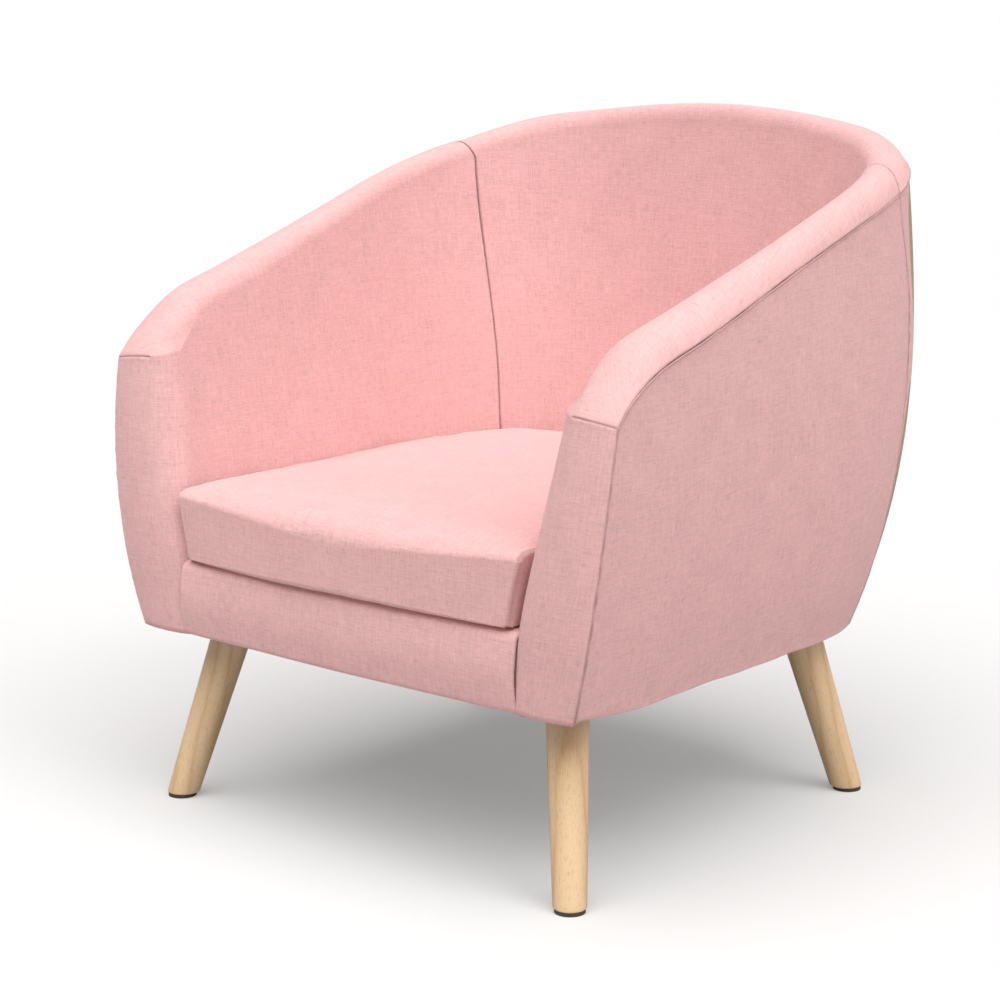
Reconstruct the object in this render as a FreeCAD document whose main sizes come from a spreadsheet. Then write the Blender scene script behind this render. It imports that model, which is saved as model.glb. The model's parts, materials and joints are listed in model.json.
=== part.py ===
import FreeCAD, Part
import math
import os

# Upholstered tub armchair. Millimetres, +Z up, the chair faces -Y, and the origin
# lies on the floor under the middle of the chair.

doc = FreeCAD.newDocument("tub_armchair")
sheet = doc.addObject("Spreadsheet::Sheet", "Sizes")

SIZES = {
    # floor and legs
    "glide_height": 4, "glide_radius": 16,
    "leg_foot_radius": 17.5, "leg_head_radius": 23, "leg_top": 209,
    "front_foot_x": 286, "front_foot_y": -308, "rear_foot_x": 283, "rear_foot_y": 207,
    "leg_lean_side": 0.217, "front_lean": 0.24, "rear_lean": -0.229,
    "bolt_radius": 4, "bolt_length": 78, "bolt_start": 170,
    "plate_side": 60, "plate_thick": 3, "plate_hole_pitch": 46, "plate_hole_diameter": 4.5,
    "plate_screw_length": 28, "bolt_hole_gap": 0.2,
    "screw_radius": 2.25, "screw_head_radius": 4.4, "screw_head_height": 2,
    "screw_tip_length": 6, "screw_tip_radius": 0.4,
    # timber frame
    "frame_bottom": 212, "rail_height": 66, "rail_thick": 22, "block_height": 45,
    "rail_front_y": -322, "side_rail_x": 268, "side_rail_back_y": 140, "rear_rail_y": 235,
    "rail_half_length": 290, "rear_rail_half_length": 190, "post_thick": 18,
    "rear_post_foot_radius": 328.2,
    "post_outer_inset": 9, "post_neck_inset": 28, "post_front_y": -316,
    "top_rail_depth": 32, "top_rail_inset": 7.2, "top_rail_thick": 22, "top_rail_drop": 14,
    # seat platform
    "spring_wire_radius": 1.75, "spring_z": 281, "spring_pitch": 26, "spring_sweep": 21,
    "spring_first_x": 60, "spring_spacing": 120, "clip_length": 18, "clip_depth": 10,
    "clip_height": 6.2, "clip_gap": 0.1, "spring_front_y": -311, "spring_back_y": 246,
    "deck_half_width": 233, "deck_front_y": -298, "deck_back_y": 204, "deck_corner": 120,
    "felt_bottom": 285, "felt_thick": 3, "deck_cover_thick": 1.5,
    "dust_cover_bottom": 204.6, "dust_cover_thick": 0.8, "dust_cover_inset": 9,
    # upholstery layers, measured in from the outside skin
    "cover_thick": 2, "board_thick": 3, "layer_gap": 0.2, "pad_outer_inset": 33,
    "skin_bottom": 202, "board_bottom": 206, "inside_bottom": 292, "front_board_thick": 6,
    "facing_inner_inset": 36,
    "border_half_width": 238, "border_front_y": -340, "border_top": 286.8, "border_bottom": 206,
    "border_lip_back_y": -300,
    # loose seat cushion
    "cushion_nose": 26,
    "cushion_bottom": 291.4, "cushion_top": 368, "cushion_front_y": -344, "cushion_bow": 6,
    "cushion_bottom_half_width": 234, "cushion_top_half_width": 248, "cushion_corner": 26,
    "cushion_bottom_back_y": 209, "cushion_top_back_y": 224, "cushion_back_radius": 750,
    "zip_z": 330, "zip_width": 8, "zip_stand_off": 1.2, "zip_thick": 1, "zip_angle": 10,
    "slider_width": 8, "slider_height": 15, "slider_thick": 2.6, "slider_angle": 9,
    "slider_gap": 0.3,
}
for row, (alias, value) in enumerate(SIZES.items(), start=1):
    sheet.set(f"A{row}", alias)
    sheet.set(f"B{row}", str(value))
    sheet.setAlias(f"B{row}", alias)
doc.recompute()


def size(alias):
    return float(sheet.get(alias))


# The shell of the chair is one wall that runs up one arm, round the back and down the
# other arm. A station along it is a number: -1 is the front of the arm, 0 the place
# where the arm stops being straight, 1 the middle of the back.
FRONT_Y = -330.0
BEND_Y = -10.0
QUARTER_LENGTH = 570.0
HEIGHTS_OUT = (200, 400, 600, 800)
HALF_WIDTH_OUT = (309, 349, 353, 344)
BACK_OUT = (286, 347, 352, 323)
HEIGHTS_IN = (200, 450, 750)
HALF_WIDTH_IN = (222, 270, 328)
BACK_IN = (200, 250, 303)
PLAN_POWER_OUT = 3.8
PLAN_POWER_IN = 3.2
SEAM_PLACES = (4, 25, 45, 75, 143, 330, 514, 673, 890)
SEAM_HEIGHTS = (501.5, 523.4, 537.2, 551.9, 572.5, 634, 689, 732, 749)
FRONT_HEIGHTS = (200, 350, 500)
FRONT_FACE_Y = (-334, -340.5, -325)
FRONT_TOP_Z = 500.0
BEYOND = 600.0
FRONT_TURN_OVERLAP = 0.3
FRONT_TURN_HEIGHTS = (290, 500)
FRONT_TURN_Y = (-322, -298)
FRONT_SECTIONS = (150, 200, 245, 290, 325, 360, 395, 430, 465, 500)
ROLL_RISE = 27.0
DART_RISE = 6.0
ROLL_RISE_STATIONS = (-1.0, -0.74)
CORNER_STATION = 35 / 90
ARM_STATIONS = (-1.1, -1.03, -0.97, -0.9, -0.8, -0.65, -0.45, -0.22, 0, 0.13, 0.26)
BACK_STATIONS = (0.52, 0.68, 0.84, 1.0, 1.16, 1.32, 1.48)
SEAM_GAP = 0.2 / 90


def vec(x, y, z):
    return FreeCAD.Vector(x, y, z)


def polynomial(knots, values, at):
    """Value at a place of the polynomial that passes through the given values."""
    total = 0.0
    for knot, value in zip(knots, values):
        for other in knots:
            if other != knot:
                value = value * (at - other) / (knot - other)
        total += value
    return total


def place_along(station):
    """Distance of a station from the arm's front, measured along the wall."""
    station = min(station, 2 - station)
    if station <= 0:
        return (BEND_Y - FRONT_Y) * (1 + station)
    return BEND_Y - FRONT_Y + QUARTER_LENGTH * station


def seam_height(station):
    """Height of the outer top seam: a monotone cubic through the seam's places."""
    at = place_along(station)
    knots, heights = SEAM_PLACES, SEAM_HEIGHTS
    gaps = [b - a for a, b in zip(knots, knots[1:])]
    rises = [(b - a) / gap for a, b, gap in zip(heights, heights[1:], gaps)]
    slopes = [rises[0]]
    for i in range(1, len(rises)):
        w1 = 2 * gaps[i] + gaps[i - 1]
        w2 = gaps[i] + 2 * gaps[i - 1]
        slopes.append((w1 + w2) / (w1 / rises[i - 1] + w2 / rises[i]))
    slopes.append(0.0)
    if at <= knots[0]:
        return heights[0] + slopes[0] * (at - knots[0])
    i = max(k for k in range(len(gaps)) if at >= knots[k])
    u = (at - knots[i]) / gaps[i]
    return (heights[i] * (1 + 2 * u) * (1 - u) ** 2 + slopes[i] * gaps[i] * u * (1 - u) ** 2
            + heights[i + 1] * u * u * (3 - 2 * u) + slopes[i + 1] * gaps[i] * u * u * (u - 1))


def plan_radius(station, half_width, depth, power):
    """Distance of a superellipse from the wall's axis, in the plane of a station."""
    if station <= 0:
        return half_width
    angle = math.radians(90 * station)
    across = abs(math.cos(angle) / half_width) ** power
    back = abs(math.sin(angle) / depth) ** power
    return (across + back) ** (-1 / power)


def outer(station, z):
    half_width = polynomial(HEIGHTS_OUT, HALF_WIDTH_OUT, z)
    depth = polynomial(HEIGHTS_OUT, BACK_OUT, z) - BEND_Y
    return plan_radius(station, half_width, depth, PLAN_POWER_OUT)


def inner(station, z):
    half_width = polynomial(HEIGHTS_IN, HALF_WIDTH_IN, z)
    depth = polynomial(HEIGHTS_IN, BACK_IN, z) - BEND_Y
    return plan_radius(station, half_width, depth, PLAN_POWER_IN)


def smooth(low, high, at):
    """A share that grows gently from 0 at the low place to 1 at the high one."""
    share = min(max((at - low) / (high - low), 0.0), 1.0)
    return share * share * (3 - 2 * share)


def roll_rise(station):
    """Height of the roll above its seams: nearly flat where the arm begins."""
    share = smooth(*ROLL_RISE_STATIONS, min(station, 2 - station))
    return DART_RISE + (ROLL_RISE - DART_RISE) * share


def inner_top(station):
    """Height where the inside of the wall turns into the roll, lower where that is flat."""
    return seam_height(station) - (ROLL_RISE - roll_rise(station))


def spot(station, radius, z):
    """Point in the plane of a station, at a distance from the middle of the chair."""
    if station <= 0:
        return vec(radius, FRONT_Y + (BEND_Y - FRONT_Y) * (1 + station), z)
    angle = math.radians(90 * station)
    return vec(radius * math.cos(angle), BEND_Y + radius * math.sin(angle), z)


def arm_station(y):
    return (y - FRONT_Y) / (BEND_Y - FRONT_Y) - 1


def spread(low, high, count):
    return [low + (high - low) * i / (count - 1) for i in range(count)]


def outside_line(station, low, high, inset, count=7):
    return [spot(station, outer(station, z) - inset, z) for z in spread(low, high, count)]


def inside_line(station, low, high, inset, count=5):
    return [spot(station, inner(station, z) + inset, z) for z in spread(low, high, count)]


def roll_line(station, inset, count=9):
    """The rounded top of the wall, from the outer seam over to the inside."""
    z = seam_height(station)
    low = inner_top(station)
    outside = spot(station, outer(station, z) - inset, z)
    inside = spot(station, inner(station, low) + inset, low)
    across = vec(inside.x - outside.x, inside.y - outside.y, 0)
    rise = roll_rise(station) - inset
    lift = (z - low) * 0.25
    pull_out = outside + across * 0.22 + vec(0, 0, rise * 1.25 + lift)
    pull_in = outside + across * 0.94 + vec(0, 0, rise * 1.15 + lift)
    points = []
    for u in spread(0, 1, count):
        v = 1 - u
        points.append(outside * v ** 3 + pull_out * (3 * v * v * u)
                      + pull_in * (3 * v * u * u) + inside * u ** 3)
    return points


def run(points):
    """An edge through points, with even parameters so that lofts stay light."""
    if len(points) == 2:
        return Part.LineSegment(points[0], points[1]).toShape()
    curve = Part.BSplineCurve()
    curve.interpolate(Points=points, Parameters=spread(0.0, 1.0, len(points)))
    return curve.toShape()


def ring(*runs):
    return Part.Wire([run(points) for points in runs])


def loft(stations, outline):
    return Part.makeLoft([outline(station) for station in stations], True, False)


def outside_band(low, top_gap, inset, thick):
    """Section of a thin layer that follows the outside of the wall."""
    def outline(station):
        high = seam_height(station) - top_gap
        skin = outside_line(station, low, high, inset)
        back = outside_line(station, low, high, inset + thick)
        back.reverse()
        return ring(skin, [skin[-1], back[0]], back, [back[-1], skin[0]])
    return outline


def inside_band(inset, thick):
    """Section of a thin layer that rolls over the top and down the inside."""
    low = size("inside_bottom")

    def outline(station):
        high = inner_top(station)
        skin_roll = roll_line(station, inset)
        skin_drop = inside_line(station, high, low, inset)
        back_drop = inside_line(station, low, high, inset + thick)
        back_roll = roll_line(station, inset + thick)
        back_roll.reverse()
        return ring(skin_roll, skin_drop, [skin_drop[-1], back_drop[0]], back_drop, back_roll,
                    [back_roll[-1], skin_roll[0]])
    return outline


def padding(station):
    """Section of the foam: the inside of the wall and the roll over the top rail."""
    inset = size("cover_thick") + size("layer_gap")
    low = size("inside_bottom")
    high = seam_height(station)
    ledge = high - size("top_rail_drop") + 1
    roll = roll_line(station, inset)
    drop = inside_line(station, inner_top(station), low, inset)
    rise = outside_line(station, low, ledge, size("pad_outer_inset"))
    lap = high - 1.5
    step = spot(station, outer(station, ledge) - size("top_rail_inset"), ledge)
    brow = spot(station, outer(station, lap) - size("top_rail_inset"), lap)
    return ring(roll, drop, [drop[-1], rise[0]], rise, [rise[-1], step], [step, brow],
                [brow, roll[0]])


def wall_block(inset):
    """Section of the whole wall, down to its bottom edge."""
    def outline(station):
        high = seam_height(station)
        low = size("skin_bottom") + inset
        skin = outside_line(station, low, high, inset)
        roll = roll_line(station, inset)
        drop = inside_line(station, inner_top(station), low, inset)
        return ring(skin, roll, drop, [drop[-1], skin[0]])
    return outline


def facing_block(station):
    """Section of the arm behind its front board, clear of the rounded inner edge."""
    inset = size("top_rail_inset")
    low = size("skin_bottom") + inset
    high = seam_height(station) - 2
    skin = outside_line(station, low, high, inset)
    drop = inside_line(station, high, low, size("facing_inner_inset"))
    return ring(skin, [skin[-1], drop[0]], drop, [drop[-1], skin[0]])


def top_rail(station):
    """Section of the curved top rail, under the roll and against the outside board."""
    high = seam_height(station) - size("top_rail_drop")
    low = high - size("top_rail_depth")
    skin = outside_line(station, low, high, size("top_rail_inset"), 3)
    back = outside_line(station, high, low, size("top_rail_inset") + size("top_rail_thick"), 3)
    return ring(skin, [skin[-1], back[0]], back, [back[-1], skin[0]])


def front_section(z, depth):
    """Plan of the space before the right arm: its face turns back into its inside."""
    far = outer(-1, z)
    near = inner(-1, z) + min(depth, size("cover_thick")) - FRONT_TURN_OVERLAP
    face = polynomial(FRONT_HEIGHTS, FRONT_FACE_Y, z) + depth
    low_y, high_y = FRONT_TURN_Y
    turn_y = low_y + (high_y - low_y) * smooth(*FRONT_TURN_HEIGHTS, z)
    turn = Part.BezierCurve()
    turn.setPoles([vec(far, face, z), vec(far - 0.45 * (far - near), face - 9, z),
                   vec(near, face - 6, z), vec(near, turn_y, z)])
    corners = [vec(near, turn_y, z), vec(0, turn_y, z), vec(0, -BEYOND, z),
               vec(BEYOND, -BEYOND, z), vec(BEYOND, face, z), vec(far, face, z)]
    sides = [run([a, b]) for a, b in zip(corners, corners[1:])]
    return Part.Wire([turn.toShape(), *sides])


def in_front_of(depth):
    """A block that fills everything before the right arm's front face plus a depth."""
    lower = Part.makeLoft([front_section(z, depth) for z in FRONT_SECTIONS], True, False)
    upper = Part.Face(front_section(FRONT_TOP_Z, depth)).extrude(vec(0, 0, BEYOND))
    return lower.fuse(upper)


def border_space(margin):
    """The place between the arms that the front border fills."""
    half = size("border_half_width") + margin
    top = size("border_top") + 3.2 + margin
    return Part.makeBox(2 * half, 700, top - 100, vec(-half, -600, 100))


# ---- how sub-parts are made and kept ------------------------------------------------

SUB_PARTS = []


def keep(label, item):
    item.Label = label
    SUB_PARTS.append(item)
    return item


def bind(item, **links):
    for name, formula in links.items():
        item.setExpression(name.replace("__", "."), formula)
    return item


def formed(label, shape):
    """A sub-part whose surfaces only Part's own functions can make."""
    item = doc.addObject("Part::Feature", label)
    item.Shape = shape
    item.Placement = FreeCAD.Placement()
    return keep(label, item)


def mirrored(label, source):
    item = doc.addObject("Part::Mirroring", label)
    item.Source = source
    item.Normal = (1, 0, 0)
    return keep(label, item)


def left_and_right(name, shape):
    right = formed(f"right_{name}", shape)
    mirrored(f"left_{name}", right)


def sketch_on(body, role, corners, curves=()):
    """A closed sketch on one of the body's own planes; numbered sides may be curved."""
    plane = next(p for p in body.Origin.OriginFeatures if p.Role == role)
    sketch = body.newObject("Sketcher::SketchObject", f"{body.Name}_sketch")
    sketch.AttachmentSupport = [(plane, "")]
    sketch.MapMode = "FlatFace"
    between = dict(curves)
    for i, start in enumerate(corners):
        end = corners[(i + 1) % len(corners)]
        points = [vec(x, y, 0) for x, y in (start, *between.get(i, ()), end)]
        if len(points) == 2:
            sketch.addGeometry(Part.LineSegment(*points))
        elif len(points) == 3:
            sketch.addGeometry(Part.Arc(*points))
        else:
            curve = Part.BSplineCurve()
            curve.interpolate(points)
            sketch.addGeometry(curve)
    return sketch


def padded_body(label, role, corners, length, symmetric=False, curves=(), **links):
    """A body padded from a closed outline, placed by formulas over the sheet."""
    body = doc.addObject("PartDesign::Body", label)
    pad = body.newObject("PartDesign::Pad", f"{label}_pad")
    pad.Profile = sketch_on(body, role, corners, curves)
    pad.setExpression("Length", length)
    if symmetric:
        pad.SideType = "Symmetric"
    body.Tip = pad
    bind(body, **links)
    return keep(label, body)


# ---- legs, glides, plates and bolts ---------------------------------------------------

CORNERS = {
    "front_right": (1, "front"), "front_left": (-1, "front"),
    "rear_right": (1, "rear"), "rear_left": (-1, "rear"),
}
BOLT_PARTS = []
PLATE_SCREWS = []


def leg_axis(side, end):
    return vec(-side * size("leg_lean_side"), size(f"{end}_lean"), 1)


def leg_point(side, end, z):
    foot = vec(side * size(f"{end}_foot_x"), size(f"{end}_foot_y"), 0)
    return foot + leg_axis(side, end) * z


def wood_screw(start, direction, length):
    """A pan-head screw whose shank runs from start along direction."""
    unit = FreeCAD.Vector(direction).normalize()
    radius = size("screw_radius")
    tip_length = size("screw_tip_length")
    plain = length - tip_length
    head_height = size("screw_head_height")
    shank = Part.makeCylinder(radius, plain, start, unit)
    tip = Part.makeCone(radius, size("screw_tip_radius"), tip_length, start + unit * plain, unit)
    head = Part.makeCylinder(size("screw_head_radius"), head_height, start - unit * head_height,
                             unit)
    return shank.fuse([tip, head]).removeSplitter()


def make_leg(corner, side, end):
    """A leaning taper, cut level above its glide and under its plate."""
    sunk = 30
    slab_side = 400
    cone = doc.addObject("Part::Cone", f"taper_{corner}")
    taper = "(Sizes.leg_head_radius - Sizes.leg_foot_radius) / Sizes.leg_top"
    bind(cone, Radius1=f"Sizes.leg_foot_radius - {taper} * {sunk}",
         Radius2=f"Sizes.leg_head_radius + {taper} * {sunk}",
         Height=f"Sizes.leg_top + 2 * {sunk}")
    axis = leg_axis(side, end)
    cone.Placement = FreeCAD.Placement(leg_point(side, end, -sunk),
                                       FreeCAD.Rotation(vec(0, 0, 1), axis))
    slab = doc.addObject("Part::Box", f"leg_slab_{corner}")
    bind(slab, Length=str(slab_side), Width=str(slab_side),
         Height="Sizes.leg_top - Sizes.glide_height")
    slab.Placement.Base = leg_point(side, end, 0) + vec(-slab_side / 2, -slab_side / 2,
                                                        size("glide_height"))
    leg = doc.addObject("Part::Common", f"leg_{corner}")
    leg.Base = cone
    leg.Tool = slab
    keep(f"leg_{corner}", leg)


def make_glide(corner, side, end):
    glide = doc.addObject("Part::Cylinder", f"leg_glide_{corner}")
    bind(glide, Radius="Sizes.glide_radius", Height="Sizes.glide_height")
    glide.Placement.Base = leg_point(side, end, 0)
    keep(f"leg_glide_{corner}", glide)


def make_leg_plate(corner, side, end):
    """A square steel plate with four screw holes and a tilted hole for the leg's bolt."""
    centre = leg_point(side, end, size("leg_top"))
    half = size("plate_side") / 2
    body = doc.addObject("PartDesign::Body", f"plate_{corner}")
    pad = body.newObject("PartDesign::Pad", f"plate_pad_{corner}")
    pad.Profile = sketch_on(body, "XY_Plane",
                            [(-half, -half), (half, -half), (half, half), (-half, half)])
    pad.setExpression("Length", "Sizes.plate_thick")
    reach = size("plate_hole_pitch") / 2
    centres = body.newObject("Sketcher::SketchObject", f"plate_holes_{corner}")
    plane = next(p for p in body.Origin.OriginFeatures if p.Role == "XY_Plane")
    centres.AttachmentSupport = [(plane, "")]
    centres.MapMode = "FlatFace"
    for x in (-reach, reach):
        for y in (-reach, reach):
            circle = Part.Circle(vec(x, y, 0), vec(0, 0, 1), size("plate_hole_diameter") / 2)
            centres.addGeometry(circle)
            screw = wood_screw(centre + vec(x, y, 0), vec(0, 0, 1), size("plate_screw_length"))
            PLATE_SCREWS.append(screw)
    doc.recompute()
    holes = body.newObject("PartDesign::Pocket", f"plate_pocket_{corner}")
    holes.Profile = centres
    holes.Type = "ThroughAll"
    holes.Reversed = True
    body.Tip = holes
    body.Placement.Base = centre
    bolt_hole = doc.addObject("Part::Cylinder", f"bolt_hole_{corner}")
    hole_length = 60
    bind(bolt_hole, Radius="Sizes.bolt_radius + Sizes.bolt_hole_gap", Height=str(hole_length))
    axis = leg_axis(side, end)
    bolt_hole.Placement = FreeCAD.Placement(leg_point(side, end, size("leg_top") - hole_length / 2),
                                            FreeCAD.Rotation(vec(0, 0, 1), axis))
    plate = doc.addObject("Part::Cut", f"leg_plate_{corner}")
    plate.Base = body
    plate.Tool = bolt_hole
    keep(f"leg_plate_{corner}", plate)
    start = leg_point(side, end, size("bolt_start"))
    BOLT_PARTS.append(Part.makeCylinder(size("bolt_radius"), size("bolt_length"), start, axis))


FRONT_BLOCK = [(267.8, -299.8), (267.8, -165), (235, -165), (140, -262), (140, -299.8)]
REAR_BLOCK = [(267.8, 40), (267.8, 140.2), (289, 140.2), (266, 180), (238, 225),
              (190.2, 256), (190.2, 234.8), (110, 234.8)]

for corner, (side, end) in CORNERS.items():
    make_leg(corner, side, end)
    make_glide(corner, side, end)
    make_leg_plate(corner, side, end)
    outline = FRONT_BLOCK if end == "front" else REAR_BLOCK
    padded_body(f"corner_block_{corner}", "XY_Plane", [(side * x, y) for x, y in outline],
                "Sizes.block_height", Placement__Base__z="Sizes.frame_bottom")

formed("hanger_bolts", Part.makeCompound(BOLT_PARTS))
formed("leg_plate_screws", Part.makeCompound(PLATE_SCREWS))

# ---- rails, posts and top rails -------------------------------------------------------


def rail(label, x_low, x_high, y_low, y_high):
    corners = [(x_low, y_low), (x_high, y_low), (x_high, y_high), (x_low, y_high)]
    return padded_body(label, "XY_Plane", corners, "Sizes.rail_height",
                       Placement__Base__z="Sizes.frame_bottom")


rail("front_rail", -size("rail_half_length"), size("rail_half_length"),
     size("rail_front_y"), size("rail_front_y") + size("rail_thick"))
rail("rear_rail", -size("rear_rail_half_length"), size("rear_rail_half_length"),
     size("rear_rail_y"), size("rear_rail_y") + size("rail_thick"))
for hand, side in (("right", 1), ("left", -1)):
    edges = sorted((side * size("side_rail_x"), side * (size("side_rail_x") + size("rail_thick"))))
    rail(f"{hand}_side_rail", edges[0], edges[1],
         size("rail_front_y") + size("rail_thick") + 0.2, size("side_rail_back_y"))


def post_outline(station, foot_radius, top):
    """Sawn rib: the outer side follows the wall, the foot laps the rail behind it."""
    foot = size("frame_bottom") + 2
    waist = size("inside_bottom") - 1
    out = size("post_outer_inset")
    neck = size("post_neck_inset")

    def skin(z, inset):
        return outer(station, z) - inset
    corners = [(foot_radius, foot), (skin(foot, out), foot), (skin(top, out), top),
               (skin(top, neck), top), (skin(waist, neck), waist), (foot_radius, waist - 16)]
    outer_side = [(skin(z, out), z) for z in spread(foot, top, 6)[1:-1]]
    inner_side = [(skin(z, neck), z) for z in spread(top, waist, 6)[1:-1]]
    return corners, {1: outer_side, 3: inner_side}


def post(label, station, foot_radius, top, turn, base):
    corners, curves = post_outline(station, foot_radius, top)
    body = padded_body(label, "XZ_Plane", corners, "Sizes.post_thick", True, curves)
    body.Placement = FreeCAD.Placement(base, FreeCAD.Rotation(vec(0, 0, 1), turn))
    return body


def rail_underside(station):
    return seam_height(station) - size("top_rail_drop") - size("top_rail_depth") - 0.4


REAR_POST_LEAD = 3.2 / 90
front_post_station = arm_station(size("post_front_y"))
post_middle_y = size("post_front_y") + size("post_thick") / 2
post("right_front_post", front_post_station, size("rail_half_length") + 0.2,
     rail_underside(front_post_station), 0, vec(0, post_middle_y, 0))
post("right_rear_post", CORNER_STATION, size("rear_post_foot_radius"),
     rail_underside(CORNER_STATION - REAR_POST_LEAD), 90 * CORNER_STATION, vec(0, BEND_Y, 0))
mirrored("left_front_post", doc.getObject("right_front_post"))
mirrored("left_rear_post", doc.getObject("right_rear_post"))
rear_rail_face = size("rear_rail_y") + size("rail_thick") + 0.2 - BEND_Y
post("back_post", 1, rear_rail_face, rail_underside(0.97), 90, vec(0, BEND_Y, 0))

arm_start = arm_station(-308)
arm_stations = [arm_start] + [s for s in ARM_STATIONS if s > arm_start + 0.04]
left_and_right("arm_rail", loft(arm_stations + [CORNER_STATION - SEAM_GAP], top_rail))
formed("back_top_rail", loft([CORNER_STATION + SEAM_GAP, *BACK_STATIONS,
                              2 - CORNER_STATION - SEAM_GAP], top_rail))


POST_SCREW_HEIGHTS = (234, 262)
FRONT_POST_SCREW_Y = -304
REAR_POST_SCREW_HEIGHTS = (224, 246)
BLOCK_SCREW_Z = 250
SIDE_BLOCK_SCREW_YS = (-230, -184, 70, 110)
FRONT_BLOCK_SCREW_XS = (170, 216)
POST_SCREW_LENGTHS = {"back": 48, "front": 58, "rear": 48}
BLOCK_SCREW_LENGTH = 50


def frame_screws():
    """Screws through the posts' feet into the rails, and through the rails into the blocks."""
    sunk = 14
    proud = size("screw_head_height") + size("layer_gap")
    rail_face = size("rail_front_y") + proud
    side_face = size("rail_half_length") - proud
    screws = []
    for z in POST_SCREW_HEIGHTS:
        screws.append(wood_screw(spot(1, outer(1, z) - sunk, z), vec(0, -1, 0),
                                 POST_SCREW_LENGTHS["back"]))
        for side in (1, -1):
            start = vec(side * (outer(-1, z) - sunk), FRONT_POST_SCREW_Y, z)
            screws.append(wood_screw(start, vec(-side, 0, 0), POST_SCREW_LENGTHS["front"]))
    for side in (1, -1):
        for z in REAR_POST_SCREW_HEIGHTS:
            start = spot(CORNER_STATION, outer(CORNER_STATION, z) - sunk, z)
            inward = vec(-side * start.x, BEND_Y - start.y, 0)
            screws.append(wood_screw(vec(side * start.x, start.y, z), inward,
                                     POST_SCREW_LENGTHS["rear"]))
        for y in SIDE_BLOCK_SCREW_YS:
            screws.append(wood_screw(vec(side * side_face, y, BLOCK_SCREW_Z), vec(-side, 0, 0),
                                     BLOCK_SCREW_LENGTH))
        for x in FRONT_BLOCK_SCREW_XS:
            screws.append(wood_screw(vec(side * x, rail_face, BLOCK_SCREW_Z), vec(0, 1, 0),
                                     BLOCK_SCREW_LENGTH))
    return Part.makeCompound(screws)


formed("frame_screws", frame_screws())

# ---- seat springs and deck ------------------------------------------------------------

SPRING_NAMES = ("seat_spring_1", "seat_spring_2", "seat_spring_3", "seat_spring_4")


def zigzag_spring(middle_x):
    """A flat sinuous wire from the front rail to the rear rail."""
    z = size("spring_z")
    sweep = size("spring_sweep")
    front = size("spring_front_y")
    length = size("spring_back_y") - front
    turns = round(length / size("spring_pitch"))
    pitch = length / turns
    bend = pitch / 2
    edges = []
    for i in range(turns + 1):
        y = front + pitch * i
        side = 1 if i % 2 == 0 else -1
        start = vec(middle_x - side * sweep, y, z)
        end = vec(middle_x + side * sweep, y, z)
        edges.append(Part.LineSegment(start, end).toShape())
        if i < turns:
            crest = vec(end.x + side * bend, y + bend, z)
            edges.append(Part.Arc(end, crest, vec(end.x, y + pitch, z)).toShape())
    start = edges[0].Vertexes[0].Point
    circle = Part.makeCircle(size("spring_wire_radius"), start, vec(1, 0, 0))
    return Part.Wire(edges).makePipeShell([Part.Wire([circle])], True, True)


def clip(x, y):
    """A folded steel clip on the rail that holds the end bar of a spring."""
    length, depth = size("clip_length"), size("clip_depth")
    bottom = size("frame_bottom") + size("rail_height")
    block = Part.makeBox(length, depth, size("clip_height"),
                         vec(x - length / 2, y - depth / 2, bottom))
    bore = Part.makeCylinder(size("spring_wire_radius") + size("clip_gap"), length + 2,
                             vec(x - length / 2 - 1, y, size("spring_z")), vec(1, 0, 0))
    return block.cut(bore)


spring_xs = [size("spring_first_x") + size("spring_spacing") * (i - 2) for i in range(4)]
for name, x in zip(SPRING_NAMES, spring_xs):
    formed(name, zigzag_spring(x))
formed("spring_clips", Part.makeCompound([clip(x, y) for x in spring_xs
                                          for y in (size("spring_front_y"),
                                                    size("spring_back_y"))]))


def deck_outline():
    """Seat deck outline: straight sides and two cut rear corners, with arcs for them."""
    half = size("deck_half_width")
    back = size("deck_back_y")
    cut = size("deck_corner")
    front = size("deck_front_y")
    corners = [(-half, front), (half, front), (half, back - cut), (half - cut, back),
               (cut - half, back), (-half, back - cut)]
    bulge = cut * 0.27
    return corners, {2: [(half - bulge, back - bulge)], 4: [(bulge - half, back - bulge)]}


outline, rounds = deck_outline()
padded_body("deck_felt", "XY_Plane", outline, "Sizes.felt_thick", False, rounds,
            Placement__Base__z="Sizes.felt_bottom")
padded_body("deck_cover", "XY_Plane", outline, "Sizes.deck_cover_thick", False, rounds,
            Placement__Base__z="Sizes.felt_bottom + Sizes.felt_thick + Sizes.layer_gap")


def dust_cover():
    """Thin cloth under the frame, with a round hole for each leg."""
    z = size("dust_cover_bottom")
    inset = size("dust_cover_inset")
    stations = spread(0, 2, 33)
    back = [spot(s, outer(s, z) - inset, z) for s in stations[1:-1]]
    side = outer(0, z) - inset
    start, end = vec(side, BEND_Y, z), vec(-side, BEND_Y, z)
    front_y = polynomial(FRONT_HEIGHTS, FRONT_FACE_Y, z) + inset
    front = [vec(-side, front_y, z), vec(side, front_y, z)]
    face = Part.Face(ring([start, *back, end], [end, front[0]], front, [front[1], start]))
    cloth = face.extrude(vec(0, 0, size("dust_cover_thick")))
    for side, end in CORNERS.values():
        hole = leg_point(side, end, z) - vec(0, 0, z - 190)
        cloth = cloth.cut(Part.makeCylinder(size("leg_head_radius") + 2.5, 30, hole))
    return cloth


formed("dust_cover", dust_cover())

# ---- boards, foam and covers ----------------------------------------------------------

arm_run = [*ARM_STATIONS, CORNER_STATION - SEAM_GAP]
back_run = [CORNER_STATION + SEAM_GAP, *BACK_STATIONS, 2 - CORNER_STATION - SEAM_GAP]
front_run = ARM_STATIONS[:5]
skin = size("cover_thick")
gap = size("layer_gap")
board_inset = skin + gap
front_board_back = board_inset + size("front_board_thick")

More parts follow.
